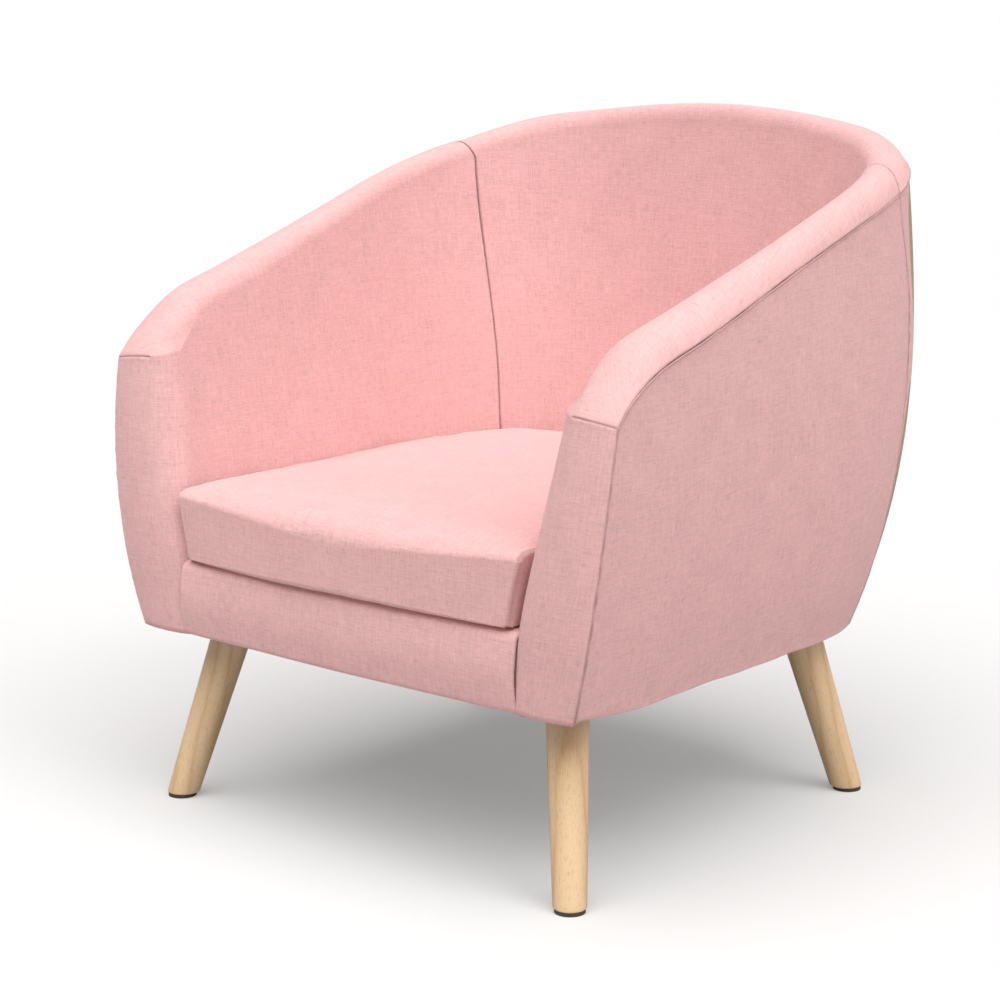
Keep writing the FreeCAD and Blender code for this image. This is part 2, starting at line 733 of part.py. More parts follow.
cover_band = outside_band(size("skin_bottom"), 0, 0, skin)
board_band = outside_band(size("board_bottom"), 2, board_inset, size("board_thick"))
lining_band = inside_band(0, skin)

left_and_right("outside_cover", loft(arm_run, cover_band).cut(in_front_of(skin)))
formed("back_outside_cover", loft(back_run, cover_band))
left_and_right("outside_board", loft(arm_run, board_band).cut(in_front_of(board_inset)))
formed("back_outside_board", loft(back_run, board_band))
left_and_right("arm_pad", loft(arm_run, padding).cut(in_front_of(front_board_back + gap)))
formed("back_pad", loft(back_run, padding))


def front_layer(block, front, back, margin):
    """A layer of the arm's front face, between two depths behind it."""
    return block.common(in_front_of(back)).cut(in_front_of(front)).cut(border_space(margin))


face = front_layer(loft(front_run, wall_block(0)), 0, skin, 0)
lining = loft(arm_run, lining_band).cut(in_front_of(skin))
left_and_right("inside_cover", lining.fuse(face))
formed("back_inside_cover", loft(back_run, lining_band))
left_and_right("arm_front_board", front_layer(loft(front_run, facing_block), board_inset,
                                              front_board_back, size("top_rail_inset")))


def webbing():
    """Four elastic straps from one rear post round to the other."""
    inset = size("post_neck_inset")
    first = CORNER_STATION + 1.9 / 90
    straps = []
    for low in (320, 400, 480, 560):
        def strap(station, low=low):
            corners = [spot(station, outer(station, z) - inset - off, z)
                       for z, off in ((low, 1.6), (low + 50, 1.6), (low + 50, 0.4), (low, 0.4))]
            return ring(*[[corners[i], corners[(i + 1) % 4]] for i in range(4)])
        straps.append(loft([first, *BACK_STATIONS, 2 - first], strap))
    return Part.makeCompound(straps)


formed("back_webbing", webbing())

front_y = size("border_front_y")
top_z, bottom_z = size("border_top"), size("border_bottom")
lip = size("border_lip_back_y")
padded_body("front_border_cover", "YZ_Plane",
            [(front_y, bottom_z), (front_y, top_z), (lip, top_z), (lip, top_z - skin),
             (front_y + skin, top_z - skin), (front_y + skin, bottom_z + skin),
             (lip - 20, bottom_z + skin), (lip - 20, bottom_z)],
            "2 * Sizes.border_half_width", True)
padded_body("front_border_pad", "YZ_Plane",
            [(front_y + skin + gap, bottom_z + skin + gap),
             (front_y + skin + gap, top_z - skin - gap),
             (size("rail_front_y") - gap, top_z - skin - gap),
             (size("rail_front_y") - gap, bottom_z + skin + gap)],
            "2 * Sizes.border_half_width", True)

# ---- loose seat cushion ---------------------------------------------------------------

NOSE_ANGLES = (18, 36, 54, 72, 90)


def nose_pull(z, inset):
    """How far the rounded front top edge draws back at a height."""
    radius = size("cushion_nose") - inset
    over = max(z - size("cushion_top") + size("cushion_nose"), 0)
    return radius - math.sqrt(max(radius ** 2 - over ** 2, 0))


def cushion_outline(z, inset):
    """Plan of the cushion at a height: bowed front, straight sides, round back."""
    share = (z - size("cushion_bottom")) / (size("cushion_top") - size("cushion_bottom"))

    def between(name):
        low, high = size(f"cushion_bottom_{name}"), size(f"cushion_top_{name}")
        return low + (high - low) * share - inset
    half = between("half_width")
    back = between("back_y")
    front = size("cushion_front_y") + inset + nose_pull(z, inset)
    corner = size("cushion_corner")
    quarter = corner * (1 - math.sqrt(0.5))
    rear_half = half * 0.6
    sag = rear_half ** 2 / (2 * size("cushion_back_radius"))
    shoulder = back - half * 0.75

    def arc(a, b, c):
        return Part.Arc(vec(*a, z), vec(*b, z), vec(*c, z)).toShape()

    def line(a, b):
        return Part.LineSegment(vec(*a, z), vec(*b, z)).toShape()
    return Part.Wire([
        arc((corner - half, front), (0, front - size("cushion_bow")), (half - corner, front)),
        arc((half - corner, front), (half - quarter, front + quarter), (half, front + corner)),
        line((half, front + corner), (half, shoulder)),
        arc((half, shoulder), (half * 0.87, back - half * 0.25), (rear_half, back - sag)),
        arc((rear_half, back - sag), (0, back), (-rear_half, back - sag)),
        arc((-rear_half, back - sag), (-half * 0.87, back - half * 0.25), (-half, shoulder)),
        line((-half, shoulder), (-half, front + corner)),
        arc((-half, front + corner), (quarter - half, front + quarter), (corner - half, front)),
    ])


def cushion_solid(inset):
    low = size("cushion_bottom") + inset
    start = size("cushion_top") - size("cushion_nose")
    radius = size("cushion_nose") - inset
    turns = [math.radians(angle) for angle in NOSE_ANGLES]
    heights = [low, start, *[start + radius * math.sin(turn) for turn in turns]]
    return Part.makeLoft([cushion_outline(z, inset) for z in heights], True, True)


formed("cushion_cover", cushion_solid(0).cut(cushion_solid(skin)))
formed("cushion_foam", cushion_solid(skin + gap))

zip_back = (size("cushion_bottom_back_y") + size("cushion_top_back_y")) / 2
zip_centre_y = zip_back - size("cushion_back_radius")


def back_arc_piece(stand_off, thick, height, half_angle, middle_angle=0.0):
    """A block that follows the round back of the cushion, at the zip's height."""
    near = size("cushion_back_radius") + stand_off
    low_z = size("zip_z") - height / 2

    def place(radius, angle):
        turn = math.radians(middle_angle + angle)
        return vec(radius * math.sin(turn), zip_centre_y + radius * math.cos(turn), low_z)

    def arc(radius):
        ends = [place(radius, angle) for angle in (-half_angle, 0, half_angle)]
        return Part.Arc(*ends).toShape()
    sides = [Part.LineSegment(place(near, angle), place(near + thick, angle)).toShape()
             for angle in (-half_angle, half_angle)]
    outline = Part.Wire([arc(near), sides[1], arc(near + thick), sides[0]])
    return Part.Face(outline).extrude(vec(0, 0, height))


formed("cushion_zip", back_arc_piece(size("zip_stand_off"), size("zip_thick"), size("zip_width"),
                                     size("zip_angle")))
slider_half = math.degrees(size("slider_width") / 2 / size("cushion_back_radius"))
slider_stand_off = size("zip_stand_off") + size("zip_thick") + size("slider_gap")
formed("zip_slider", back_arc_piece(slider_stand_off, size("slider_thick"), size("slider_height"),
                                    slider_half, size("slider_angle")))

# ---- checks and files -----------------------------------------------------------------

doc.recompute()
for item in doc.Objects:
    if "Invalid" in item.State or "Error" in item.State:
        raise RuntimeError(f"{item.Label} failed: {item.State}")
for item in SUB_PARTS:
    if item.Shape.isNull() or not item.Shape.isValid() or not item.Shape.Solids:
        raise RuntimeError(f"{item.Label} has no sound solid")

os.makedirs("parts", exist_ok=True)
for item in SUB_PARTS:
    item.Shape.exportStep(f"parts/{item.Label}.step")
box = Part.makeCompound([item.Shape for item in SUB_PARTS]).optimalBoundingBox(False)
print(len(SUB_PARTS), "sub-parts,", round(box.XLength, 1), round(box.YLength, 1),
      round(box.ZLength, 1), "mm, y", round(box.YMin, 1), round(box.YMax, 1))
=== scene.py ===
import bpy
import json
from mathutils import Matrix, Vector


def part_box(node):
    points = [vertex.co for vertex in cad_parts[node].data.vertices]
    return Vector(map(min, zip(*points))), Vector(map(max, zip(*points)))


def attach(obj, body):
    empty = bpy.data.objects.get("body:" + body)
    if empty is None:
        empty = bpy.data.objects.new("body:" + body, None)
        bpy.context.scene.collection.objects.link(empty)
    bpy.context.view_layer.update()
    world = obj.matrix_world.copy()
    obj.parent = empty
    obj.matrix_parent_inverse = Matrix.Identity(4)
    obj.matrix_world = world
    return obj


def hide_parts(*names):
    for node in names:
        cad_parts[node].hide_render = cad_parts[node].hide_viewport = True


bl_info = {
    "name": "Tub Armchair",
    "version": (1, 0, 0),
    "blender": (4, 5, 0),
    "location": "View3D > Sidebar > Tub Armchair",
    "description": "Covers, cushion, legs and finishes of an upholstered tub armchair",
    "category": "Object",
}

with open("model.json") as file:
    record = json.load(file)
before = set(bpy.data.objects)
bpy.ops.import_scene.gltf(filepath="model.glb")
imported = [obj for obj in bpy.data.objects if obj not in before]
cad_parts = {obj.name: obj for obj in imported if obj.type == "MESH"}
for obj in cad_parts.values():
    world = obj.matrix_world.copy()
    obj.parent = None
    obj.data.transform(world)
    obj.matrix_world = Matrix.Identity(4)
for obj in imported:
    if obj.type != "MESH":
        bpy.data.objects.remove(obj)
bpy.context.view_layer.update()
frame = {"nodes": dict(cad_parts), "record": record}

import json
import math

import bpy
import numpy as np
from mathutils import Vector, kdtree, noise

CHAIR = "chair"
CUSHION = "cushion"
SLIDER = "zip_slider"
LINEN = "linen"

# ---- the shape of the shell, in metres, as the frame was designed ----------------------

FRONT_Y = -0.330
BEND_Y = -0.010
QUARTER_LENGTH = 0.570
HEIGHTS_OUT = (0.2, 0.4, 0.6, 0.8)
HALF_WIDTH_OUT = (0.309, 0.349, 0.353, 0.344)
BACK_OUT = (0.286, 0.347, 0.352, 0.323)
HEIGHTS_IN = (0.2, 0.45, 0.75)
HALF_WIDTH_IN = (0.222, 0.270, 0.328)
BACK_IN = (0.200, 0.250, 0.303)
PLAN_POWER_OUT = 3.8
PLAN_POWER_IN = 3.2
SEAM_PLACES = (0.004, 0.025, 0.045, 0.075, 0.143, 0.330, 0.514, 0.673, 0.890)
SEAM_HEIGHTS = (0.5015, 0.5234, 0.5372, 0.5519, 0.5725, 0.634, 0.689, 0.732, 0.749)
FRONT_HEIGHTS = (0.200, 0.350, 0.500)
FRONT_FACE_Y = (-0.334, -0.3405, -0.325)
SKIN_BOTTOM = 0.202
INSIDE_BOTTOM = 0.284
ROLL_RISE = 0.027
DART_RISE = 0.006
ROLL_RISE_STATIONS = (-1.0, -0.74)
CUSHION_SHOULDER_Y = 0.042
DART_END_X = 0.300
DART_HEIGHT = 0.5025

# The seams between the arms and the back, as angles round the wall's axis: on the
# outside, over the top, and down the inside.
OUTER_SEAM_ANGLE = 34.5
TOP_SEAM_ANGLE = 30.6
ROLL_SEAM_ANGLE = 37.0
INSIDE_SEAM_ANGLE = 40.3


def polynomial(knots, values, at):
    total = 0.0
    for knot, value in zip(knots, values):
        for other in knots:
            if other != knot:
                value = value * (at - other) / (knot - other)
        total += value
    return total


def place_along(station):
    station = min(station, 2 - station)
    if station <= 0:
        return (BEND_Y - FRONT_Y) * (1 + station)
    return BEND_Y - FRONT_Y + QUARTER_LENGTH * station


def seam_height(station):
    """Height of the outer top seam: a monotone cubic through the seam's places."""
    at = place_along(station)
    knots, heights = SEAM_PLACES, SEAM_HEIGHTS
    gaps = [b - a for a, b in zip(knots, knots[1:])]
    rises = [(b - a) / gap for a, b, gap in zip(heights, heights[1:], gaps)]
    slopes = [rises[0]]
    for i in range(1, len(rises)):
        w1 = 2 * gaps[i] + gaps[i - 1]
        w2 = gaps[i] + 2 * gaps[i - 1]
        slopes.append((w1 + w2) / (w1 / rises[i - 1] + w2 / rises[i]))
    slopes.append(0.0)
    if at <= knots[0]:
        return heights[0] + slopes[0] * (at - knots[0])
    i = max(k for k in range(len(gaps)) if at >= knots[k])
    u = (at - knots[i]) / gaps[i]
    return (heights[i] * (1 + 2 * u) * (1 - u) ** 2 + slopes[i] * gaps[i] * u * (1 - u) ** 2
            + heights[i + 1] * u * u * (3 - 2 * u) + slopes[i + 1] * gaps[i] * u * u * (u - 1))


def plan_radius(station, half_width, depth, power):
    if station <= 0:
        return half_width
    angle = math.radians(90 * station)
    across = abs(math.cos(angle) / half_width) ** power
    back = abs(math.sin(angle) / depth) ** power
    return (across + back) ** (-1 / power)


def outer(station, z):
    half_width = polynomial(HEIGHTS_OUT, HALF_WIDTH_OUT, z)
    depth = polynomial(HEIGHTS_OUT, BACK_OUT, z) - BEND_Y
    return plan_radius(station, half_width, depth, PLAN_POWER_OUT)


def inner(station, z):
    half_width = polynomial(HEIGHTS_IN, HALF_WIDTH_IN, z)
    depth = polynomial(HEIGHTS_IN, BACK_IN, z) - BEND_Y
    return plan_radius(station, half_width, depth, PLAN_POWER_IN)


def arm_station(y):
    return (y - FRONT_Y) / (BEND_Y - FRONT_Y) - 1


def spot(station, radius, z):
    """Point in the plane of a station, at a distance from the middle of the chair."""
    if station <= 0:
        return np.array([radius, FRONT_Y + (BEND_Y - FRONT_Y) * (1 + station), z])
    angle = math.radians(90 * station)
    return np.array([radius * math.cos(angle), BEND_Y + radius * math.sin(angle), z])


def front_y(z):
    return polynomial(FRONT_HEIGHTS, FRONT_FACE_Y, min(z, 0.5))


def smooth(low, high, at):
    u = min(max((at - low) / (high - low), 0.0), 1.0)
    return u * u * (3 - 2 * u)


def roll_rise(station):
    share = smooth(*ROLL_RISE_STATIONS, min(station, 2 - station))
    return DART_RISE + (ROLL_RISE - DART_RISE) * share


def mix(a, b, share):
    return a + (b - a) * share


def bezier(a, b, c, d, u):
    v = 1 - u
    return a * v ** 3 + b * (3 * v * v * u) + c * (3 * v * u * u) + d * u ** 3


def inner_top(station):
    """Height where the inside of the wall turns into the roll, lower where that is flat."""
    return seam_height(station) - (ROLL_RISE - roll_rise(station))


def roll(station, u):
    """Point on the rounded top of the wall, from its inside to its outer seam."""
    top, low = seam_height(station), inner_top(station)
    outside = spot(station, outer(station, top), top)
    inside = spot(station, inner(station, low), low)
    across = (inside - outside) * np.array([1, 1, 0])
    rise, lift = roll_rise(station), (top - low) * 0.25
    pull_in = outside + across * 0.94 + np.array([0, 0, rise * 1.15 + lift])
    pull_out = outside + across * 0.22 + np.array([0, 0, rise * 1.25 + lift])
    return bezier(inside, pull_in, pull_out, outside, u)


FINE_STEPS = (0.0, 0.0006, 0.0012, 0.0019, 0.0028, 0.0042, 0.0064, 0.0098)


def steps(length, pitch, fine_start=True, fine_end=True):
    """Shares of a length from 0 to 1: about a pitch apart, and finer beside a seam."""
    head = [d / length for d in FINE_STEPS] if fine_start else [0.0]
    tail = [1 - d / length for d in reversed(FINE_STEPS)] if fine_end else [1.0]
    count = max(2, round((tail[0] - head[-1]) * length / pitch))
    middle = [mix(head[-1], tail[0], i / count) for i in range(1, count)]
    return head + middle + tail


# ---- cloth as meshes --------------------------------------------------------------------


def grid_quads(rows, columns, first=0, row_step=None):
    row_step = row_step or columns
    quads = []
    for i in range(rows - 1):
        for j in range(columns - 1):
            a = first + i * row_step + j
            quads.append((a, a + 1, a + row_step + 1, a + row_step))
    return quads


def vertex_normals(points, quads):
    corners = points[quads]
    face = np.cross(corners[:, 2] - corners[:, 0], corners[:, 3] - corners[:, 1])
    normals = np.zeros_like(points)
    for k in range(4):
        np.add.at(normals, quads[:, k], face)
    length = np.linalg.norm(normals, axis=1, keepdims=True)
    return normals / np.maximum(length, 1e-12)


def seam_index(seams):
    """A search tree over points along seams, and each point's distance along its seam."""
    spots, along = [], []
    for line in seams:
        line = np.asarray(line)
        step = np.linalg.norm(np.diff(line, axis=0), axis=1)
        total = np.concatenate([[0], np.cumsum(step)])
        marks = np.arange(0, total[-1], 0.0015)
        marks = np.append(marks, total[-1])
        spots.append(np.stack([np.interp(marks, total, line[:, k]) for k in range(3)], 1))
        along.append(marks)
    spots = np.concatenate(spots)
    tree = kdtree.KDTree(len(spots))
    for i, point in enumerate(spots):
        tree.insert(point, i)
    tree.balance()
    return tree, np.concatenate(along)


def pull_seams(points, rest, quads, seams, cloth):
    """Dips the cloth into its seams, with small puckers, and marks how near each point is; the mark
    darkens the cloth colour there as painted shade in the seam creases.
    """
    normals = vertex_normals(points, quads)
    tree, along = seam_index(seams)
    moved = points.copy()
    crease = np.zeros(len(points))
    for i, point in enumerate(points):
        _, nearest, distance = tree.find(rest[i])
        if distance > 0.045:
            continue
        here = along[nearest]
        wobble = noise.noise(Vector((here * 38, 3.1, 0.4)))
        strength = 0.75 + 0.5 * noise.noise(Vector((here * 9, 7.7, 1.3)))
        pucker = math.sin(2 * math.pi * here / cloth.pucker_pitch + 2.6 * wobble)
        dip = cloth.seam_depth * math.exp(-(distance / cloth.seam_width) ** 1.5)
        dip += cloth.seam_pull * math.exp(-distance / 0.011)
        lift = cloth.pucker_height * strength * pucker * math.exp(-((distance - 0.004) / 0.006) ** 2)
        moved[i] = point - normals[i] * (dip - lift)
        # Painted shade: how strongly the cloth colour is darkened in the seam crease at this point.
        crease[i] = math.exp(-(distance / cloth.seam_width) ** 2)
    return moved, crease


def soften(points, quads, height, scale, seed):
    """Slight unevenness of stuffed cloth."""
    normals = vertex_normals(points, quads)
    moved = points.copy()
    for i, point in enumerate(points):
        at = Vector(point) * scale + Vector((seed, seed * 0.7, 0))
        moved[i] = point + normals[i] * height * noise.noise(at)
    return moved


def thicken(points, quads, thickness):
    """Adds an inner side and closes the rim, so that the cloth is a thin solid."""
    normals = vertex_normals(points, quads)
    count = len(points)
    edges = {}
    for quad in quads:
        for k in range(4):
            a, b = int(quad[k]), int(quad[(k + 1) % 4])
            edges[(a, b)] = edges.get((a, b), 0) + 1
    rim = [(a, b) for a, b in edges if (b, a) not in edges]
    sides = [(b, a, a + count, b + count) for a, b in rim]
    inside = [tuple(int(v) + count for v in quad[::-1]) for quad in quads]
    faces = [tuple(int(v) for v in quad) for quad in quads] + inside + sides
    return np.concatenate([points, points - normals * thickness]), faces


def mesh_piece(name, points, faces, uvs, material, extra=None):
    """A Blender object from points, faces and one cloth coordinate for each point."""
    mesh = bpy.data.meshes.new(name)
    mesh.from_pydata([tuple(p) for p in points], [], faces)
    layer = mesh.uv_layers.new(name="cloth")
    corners = np.empty(len(mesh.loops), dtype=np.int32)
    mesh.loops.foreach_get("vertex_index", corners)
    layer.data.foreach_set("uv", np.asarray(uvs, dtype=np.float32)[corners].ravel())
    mesh.polygons.foreach_set("use_smooth", [True] * len(mesh.polygons))
    if extra is not None:
        attribute = mesh.attributes.new("grain", "FLOAT_VECTOR", "POINT")
        attribute.data.foreach_set("vector", np.asarray(extra, dtype=np.float32).ravel())
    mesh.materials.append(material)
    mesh.update()
    piece = bpy.data.objects.new(name, mesh)
    bpy.context.scene.collection.objects.link(piece)
    return piece


def add_values(mesh, name, values):
    attribute = mesh.attributes.new(name, "FLOAT", "POINT")
    attribute.data.foreach_set("value", np.asarray(values, dtype=np.float32))


def cloth_piece(name, points, quads, uvs, seams, cloth, material, seed, mirror=False):
    """A sewn cloth panel: uneven, pulled in at its seams, and a real thickness."""
    points = np.asarray(points, dtype=float)
    quads = np.asarray(quads)
    rest = points
    points = points + vertex_normals(points, quads) * cloth.stuffing
    points = soften(points, quads, cloth.unevenness, 7.0, seed)
    points, crease = pull_seams(points, rest, quads, seams, cloth)
    if mirror:
        points = points * np.array([-1, 1, 1])
        quads = quads[:, ::-1]
    points, faces = thicken(points, quads, cloth.thickness)
    piece = mesh_piece(name, points, faces, list(uvs) + list(uvs), material)
    # The crease values darken the cloth colour along the seams: painted shade.
    add_values(piece.data, "crease", np.tile(crease, 2))
    return piece


def lengths_along(points, axis):
    """Distance along one direction of a grid of points, started at its middle line."""
    step = np.linalg.norm(np.diff(points, axis=axis), axis=2)
    pad = [(0, 0), (0, 0)]
    pad[axis] = (1, 0)
    return np.cumsum(np.pad(step, pad), axis=axis)


# ---- panels of the shell ----------------------------------------------------------------

HEM = ((0.020, 0.0012), (0.012, 0.0006), (0.006, 0.0001), (0.003, 0.0003), (0.0011, 0.0012),
       (0.0003, 0.0028))


def side_station(share, z):
    """Station of a column of the outside cover, from its front seam to its rear one."""
    bend = 0.63
    if share <= bend:
        y = mix(front_y(z), BEND_Y, share / bend)
        return arm_station(y)
    angle = mix(OUTER_SEAM_ANGLE, TOP_SEAM_ANGLE, smooth(0.56, 0.69, z))
    return angle / 90 * (share - bend) / (1 - bend)


def back_station(share, z):
    angle = mix(OUTER_SEAM_ANGLE, TOP_SEAM_ANGLE, smooth(0.56, 0.69, z))
    return mix(angle, 180 - angle, share) / 90


def hem_height(station):
    """The lower edge of the outside covers, which hangs a little lower along the sides."""
    return mix(0.2035, 0.197, smooth(-1.0, -0.7, min(station, 2 - station)))


def outside_grid(station_of, columns, rows):
    """Points of an outside cover: a hem under the frame, then up to the top seam."""
    grid = []
    for share in columns:
        top = seam_height(station_of(share, 0.5 if station_of(share, 0.5) < -0.6 else 0.65))
        line = []
        wave = 0.0005 * math.sin(share * 19) + 0.0003 * math.sin(share * 43 + 1)
        for inset, lift in HEM:
            station = station_of(share, SKIN_BOTTOM)
            z = hem_height(station) + lift + wave
            line.append(spot(station, outer(station, SKIN_BOTTOM) - inset, z))
        for row in rows:
            z = mix(hem_height(station) + 0.005 + wave, top, row)
            station = station_of(share, z)
            line.append(spot(station, outer(station, z), z))
        grid.append(line)
    return np.array(grid)


def grid_piece(name, grid, seams, cloth, material, seed, flip=False, mirror=False, turn=0.0):
    rows, columns = grid.shape[:2]
    quads = np.array(grid_quads(rows, columns))
    if flip:
        quads = quads[:, ::-1]
    across = lengths_along(grid, 0)
    middle = across[:, columns // 2]
    up = lengths_along(grid, 1)
    uvs = np.stack([np.repeat(middle[:, None], columns, 1), up], 2).reshape(-1, 2)
    if turn:
        c, s = math.cos(turn), math.sin(turn)
        uvs = uvs @ np.array([[c, -s], [s, c]])
    return cloth_piece(name, grid.reshape(-1, 3), quads, uvs + seed, seams, cloth, material,
                       seed, mirror)


def make_outside_covers(cloth, material):
    pieces = []
    columns = steps(0.56, cloth.pitch)
    rows = steps(0.45, cloth.pitch, fine_start=False)
    side = outside_grid(side_station, columns, rows)
    seams = [side[0, len(HEM):], side[-1, len(HEM):], side[:, -1]]
    for hand, mirror in (("right", False), ("left", True)):
        piece = grid_piece(f"{hand}_outside_cloth", side, seams, cloth, material, 1.3, False, mirror,
                           cloth.side_bias)
        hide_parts(f"{hand}_outside_cover")
        pieces.append(piece)
    columns = steps(0.88, cloth.pitch)
    back = outside_grid(back_station, columns, rows)
    seams = [back[0, len(HEM):], back[-1, len(HEM):], back[:, -1]]
    piece = grid_piece("back_outside_cloth", back, seams, cloth, material, 2.9)
    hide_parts("back_outside_cover")
    pieces.append(piece)
    for piece in pieces:
        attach(piece, CHAIR)


def inside_seam_angle(z, top):
    return mix(INSIDE_SEAM_ANGLE, ROLL_SEAM_ANGLE, smooth(0.60, 1.0, z / top))


def make_back_inside(cloth, material):
    """The inside of the back: up the wall, over the roll and down to the outer seam."""
    grid = []
    wall_rows = steps(0.46, cloth.pitch, False, False)[:-1]
    roll_rows = steps(0.13, cloth.pitch * 0.7, False, True)
    for share in steps(0.70, cloth.pitch):
        line = []
        start = mix(ROLL_SEAM_ANGLE, 180 - ROLL_SEAM_ANGLE, share) / 90
        end = mix(TOP_SEAM_ANGLE, 180 - TOP_SEAM_ANGLE, share) / 90
        top = inner_top(start)
        for row in wall_rows:
            z = mix(INSIDE_BOTTOM, top, row)
            angle = inside_seam_angle(z, top)
            station = mix(angle, 180 - angle, share) / 90
            line.append(spot(station, inner(station, z), z))
        for row in roll_rows:
            line.append(roll(mix(start, end, row), row))
        grid.append(line)
    grid = np.array(grid)
    seams = [grid[0], grid[-1], grid[:, -1]]
    piece = grid_piece("back_inside_cloth", grid, seams, cloth, material, 5.1, True)
    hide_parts("back_inside_cover", "back_pad")
    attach(piece, CHAIR)


REAR_SHARE = 0.26
STRAIGHT_SHARE = 0.74


def turn_in_y(z):
    """Where the inside of the arm starts to turn round to its front face."""
    return mix(-0.322, -0.298, smooth(0.29, 0.50, z))


def arm_inside_spot(share, z, top):
    """Point of the arm's inside cloth, from its rear seam round to its front seam."""
    if share < REAR_SHARE:
        angle = inside_seam_angle(z, top)
        station = angle / 90 * (1 - share / REAR_SHARE)
        return spot(station, inner(station, z), z)
    if share < STRAIGHT_SHARE:
        y = mix(BEND_Y, turn_in_y(z), (share - REAR_SHARE) / (STRAIGHT_SHARE - REAR_SHARE))
        return np.array([inner(0, z), y, z])
    return arm_front_spot((share - STRAIGHT_SHARE) / (1 - STRAIGHT_SHARE), z)


def arm_front_spot(u, z):
    """Point on the turn from the arm's inside to its front seam, at a height."""
    near, far = inner(0, z), outer(-1, z)
    width = far - near
    face = front_y(z)
    start = np.array([near, turn_in_y(z), z])
    pull_1 = np.array([near, face - 0.006, z])
    pull_2 = np.array([far - 0.45 * width, face - 0.009, z])
    return bezier(start, pull_1, pull_2, np.array([far, face, z]), u)


def dart_share():
    """Share of the front turn where the dart's inner end lies."""
    low, high = 0.0, 1.0
    for _ in range(40):
        middle = (low + high) / 2
        if arm_front_spot(middle, DART_HEIGHT)[0] < DART_END_X:
            low = middle
        else:
            high = middle
    return low


def make_arm_insides(cloth, material):
    """Inside of an arm with its top roll and front face, closed at the top by a dart."""
    dart = dart_share()
    columns_in = steps(0.52, cloth.pitch, True, False)[:-1]
    columns_in = [c * STRAIGHT_SHARE for c in columns_in]
    turn = [mix(0, dart, u) for u in steps(0.045, cloth.pitch * 0.8, False, True)]
    face = [mix(dart, 1, u) for u in steps(0.065, cloth.pitch * 0.8, True, True)][1:]
    shares = columns_in + [mix(STRAIGHT_SHARE, 1, u) for u in turn]
    last_roll = len(shares) - 1
    shares += [mix(STRAIGHT_SHARE, 1, u) for u in face]

    def station_of(share, angle):
        if share < REAR_SHARE:
            return angle / 90 * (1 - share / REAR_SHARE)
        if share <= STRAIGHT_SHARE:
            along = (share - REAR_SHARE) / (STRAIGHT_SHARE - REAR_SHARE)
            return arm_station(mix(BEND_Y, turn_in_y(0.5), along))
        u = (share - STRAIGHT_SHARE) / (1 - STRAIGHT_SHARE) / dart
        return arm_station(mix(turn_in_y(0.5), front_y(DART_HEIGHT), u))

    def top_of(share):
        if share <= STRAIGHT_SHARE:
            return inner_top(station_of(share, ROLL_SEAM_ANGLE))
        u = (share - STRAIGHT_SHARE) / (1 - STRAIGHT_SHARE)
        start = inner_top(arm_station(turn_in_y(0.5)))
        if u <= dart:
            return mix(start, DART_HEIGHT + DART_RISE, smooth(0, dart, u))
        over = (u - dart) / (1 - dart)
        return DART_HEIGHT + DART_RISE * (1 - over * over)

    wall_rows = steps(0.30, cloth.pitch * 0.9, False, True)
    points, uvs, wall = [], [], []
    distance = 0.0
    for i, share in enumerate(shares):
        top = top_of(share)
        low_share = smooth(STRAIGHT_SHARE - 0.05, STRAIGHT_SHARE + 0.02, share)
        low = mix(INSIDE_BOTTOM, SKIN_BOTTOM + 0.003, low_share)
        line = [arm_inside_spot(share, mix(low, top, row), top) for row in wall_rows]
        wall.append(line)
        if i:
            middle = len(line) // 2
            distance += float(np.linalg.norm(line[middle] - wall[-2][middle]))
        climb = 0.0
        for k, point in enumerate(line):
            if k:
                climb += float(np.linalg.norm(point - line[k - 1]))
            points.append(point)
            uvs.append((distance, climb + low))
    height = len(wall_rows)
    quads = grid_quads(len(shares), height)

    roll_rows = steps(0.125, cloth.pitch * 0.7, False, True)[1:]
    dart_u = [mix(dart, 1, row) for row in roll_rows]
    dart_line = [arm_front_spot(u, top_of(mix(STRAIGHT_SHARE, 1, u))) for u in dart_u]

    def roll_spot(share, row):
        start = station_of(share, ROLL_SEAM_ANGLE)
        end = station_of(share, TOP_SEAM_ANGLE)
        return roll(mix(start, end, row), row)

    end_roll = [roll_spot(shares[last_roll], row) for row in roll_rows]
    first = len(points)
    roll_line = []
    for i in range(last_roll + 1):
        settle = smooth(STRAIGHT_SHARE - 0.06, shares[last_roll], shares[i])
        line = []
        climb = uvs[i * height + height - 1][1]
        previous = points[i * height + height - 1]
        for row, target, current in zip(roll_rows, dart_line, end_roll):
            point = roll_spot(shares[i], row) + settle * (target - current)
            climb += float(np.linalg.norm(point - previous))
            previous = point
            line.append(point)
            points.append(point)
            uvs.append((uvs[i * height][0], climb))
        roll_line.append(line)
    across = len(roll_rows)
    for i in range(last_roll):
        a, b = i * height + height - 1, (i + 1) * height + height - 1
        c, d = first + i * across, first + (i + 1) * across
        quads.append((a, c, d, b))
    quads += grid_quads(last_roll + 1, across, first)
    quads = np.array(quads)[:, ::-1]
    top_seam = np.array([line[-1] for line in roll_line])
    lip = np.array([wall[last_roll][-1]] + roll_line[last_roll])
    rear = np.array(wall[0] + roll_line[0])
    front = np.array(wall[-1])
    seams = [top_seam, rear, front, lip]
    for hand, mirror in (("right", False), ("left", True)):
        piece = cloth_piece(f"{hand}_inside_cloth", points, quads, np.array(uvs) + 3.7, seams, cloth,
                            material, 4.2, mirror)
        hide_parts(f"{hand}_inside_cover", f"{hand}_arm_pad")
        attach(piece, CHAIR)


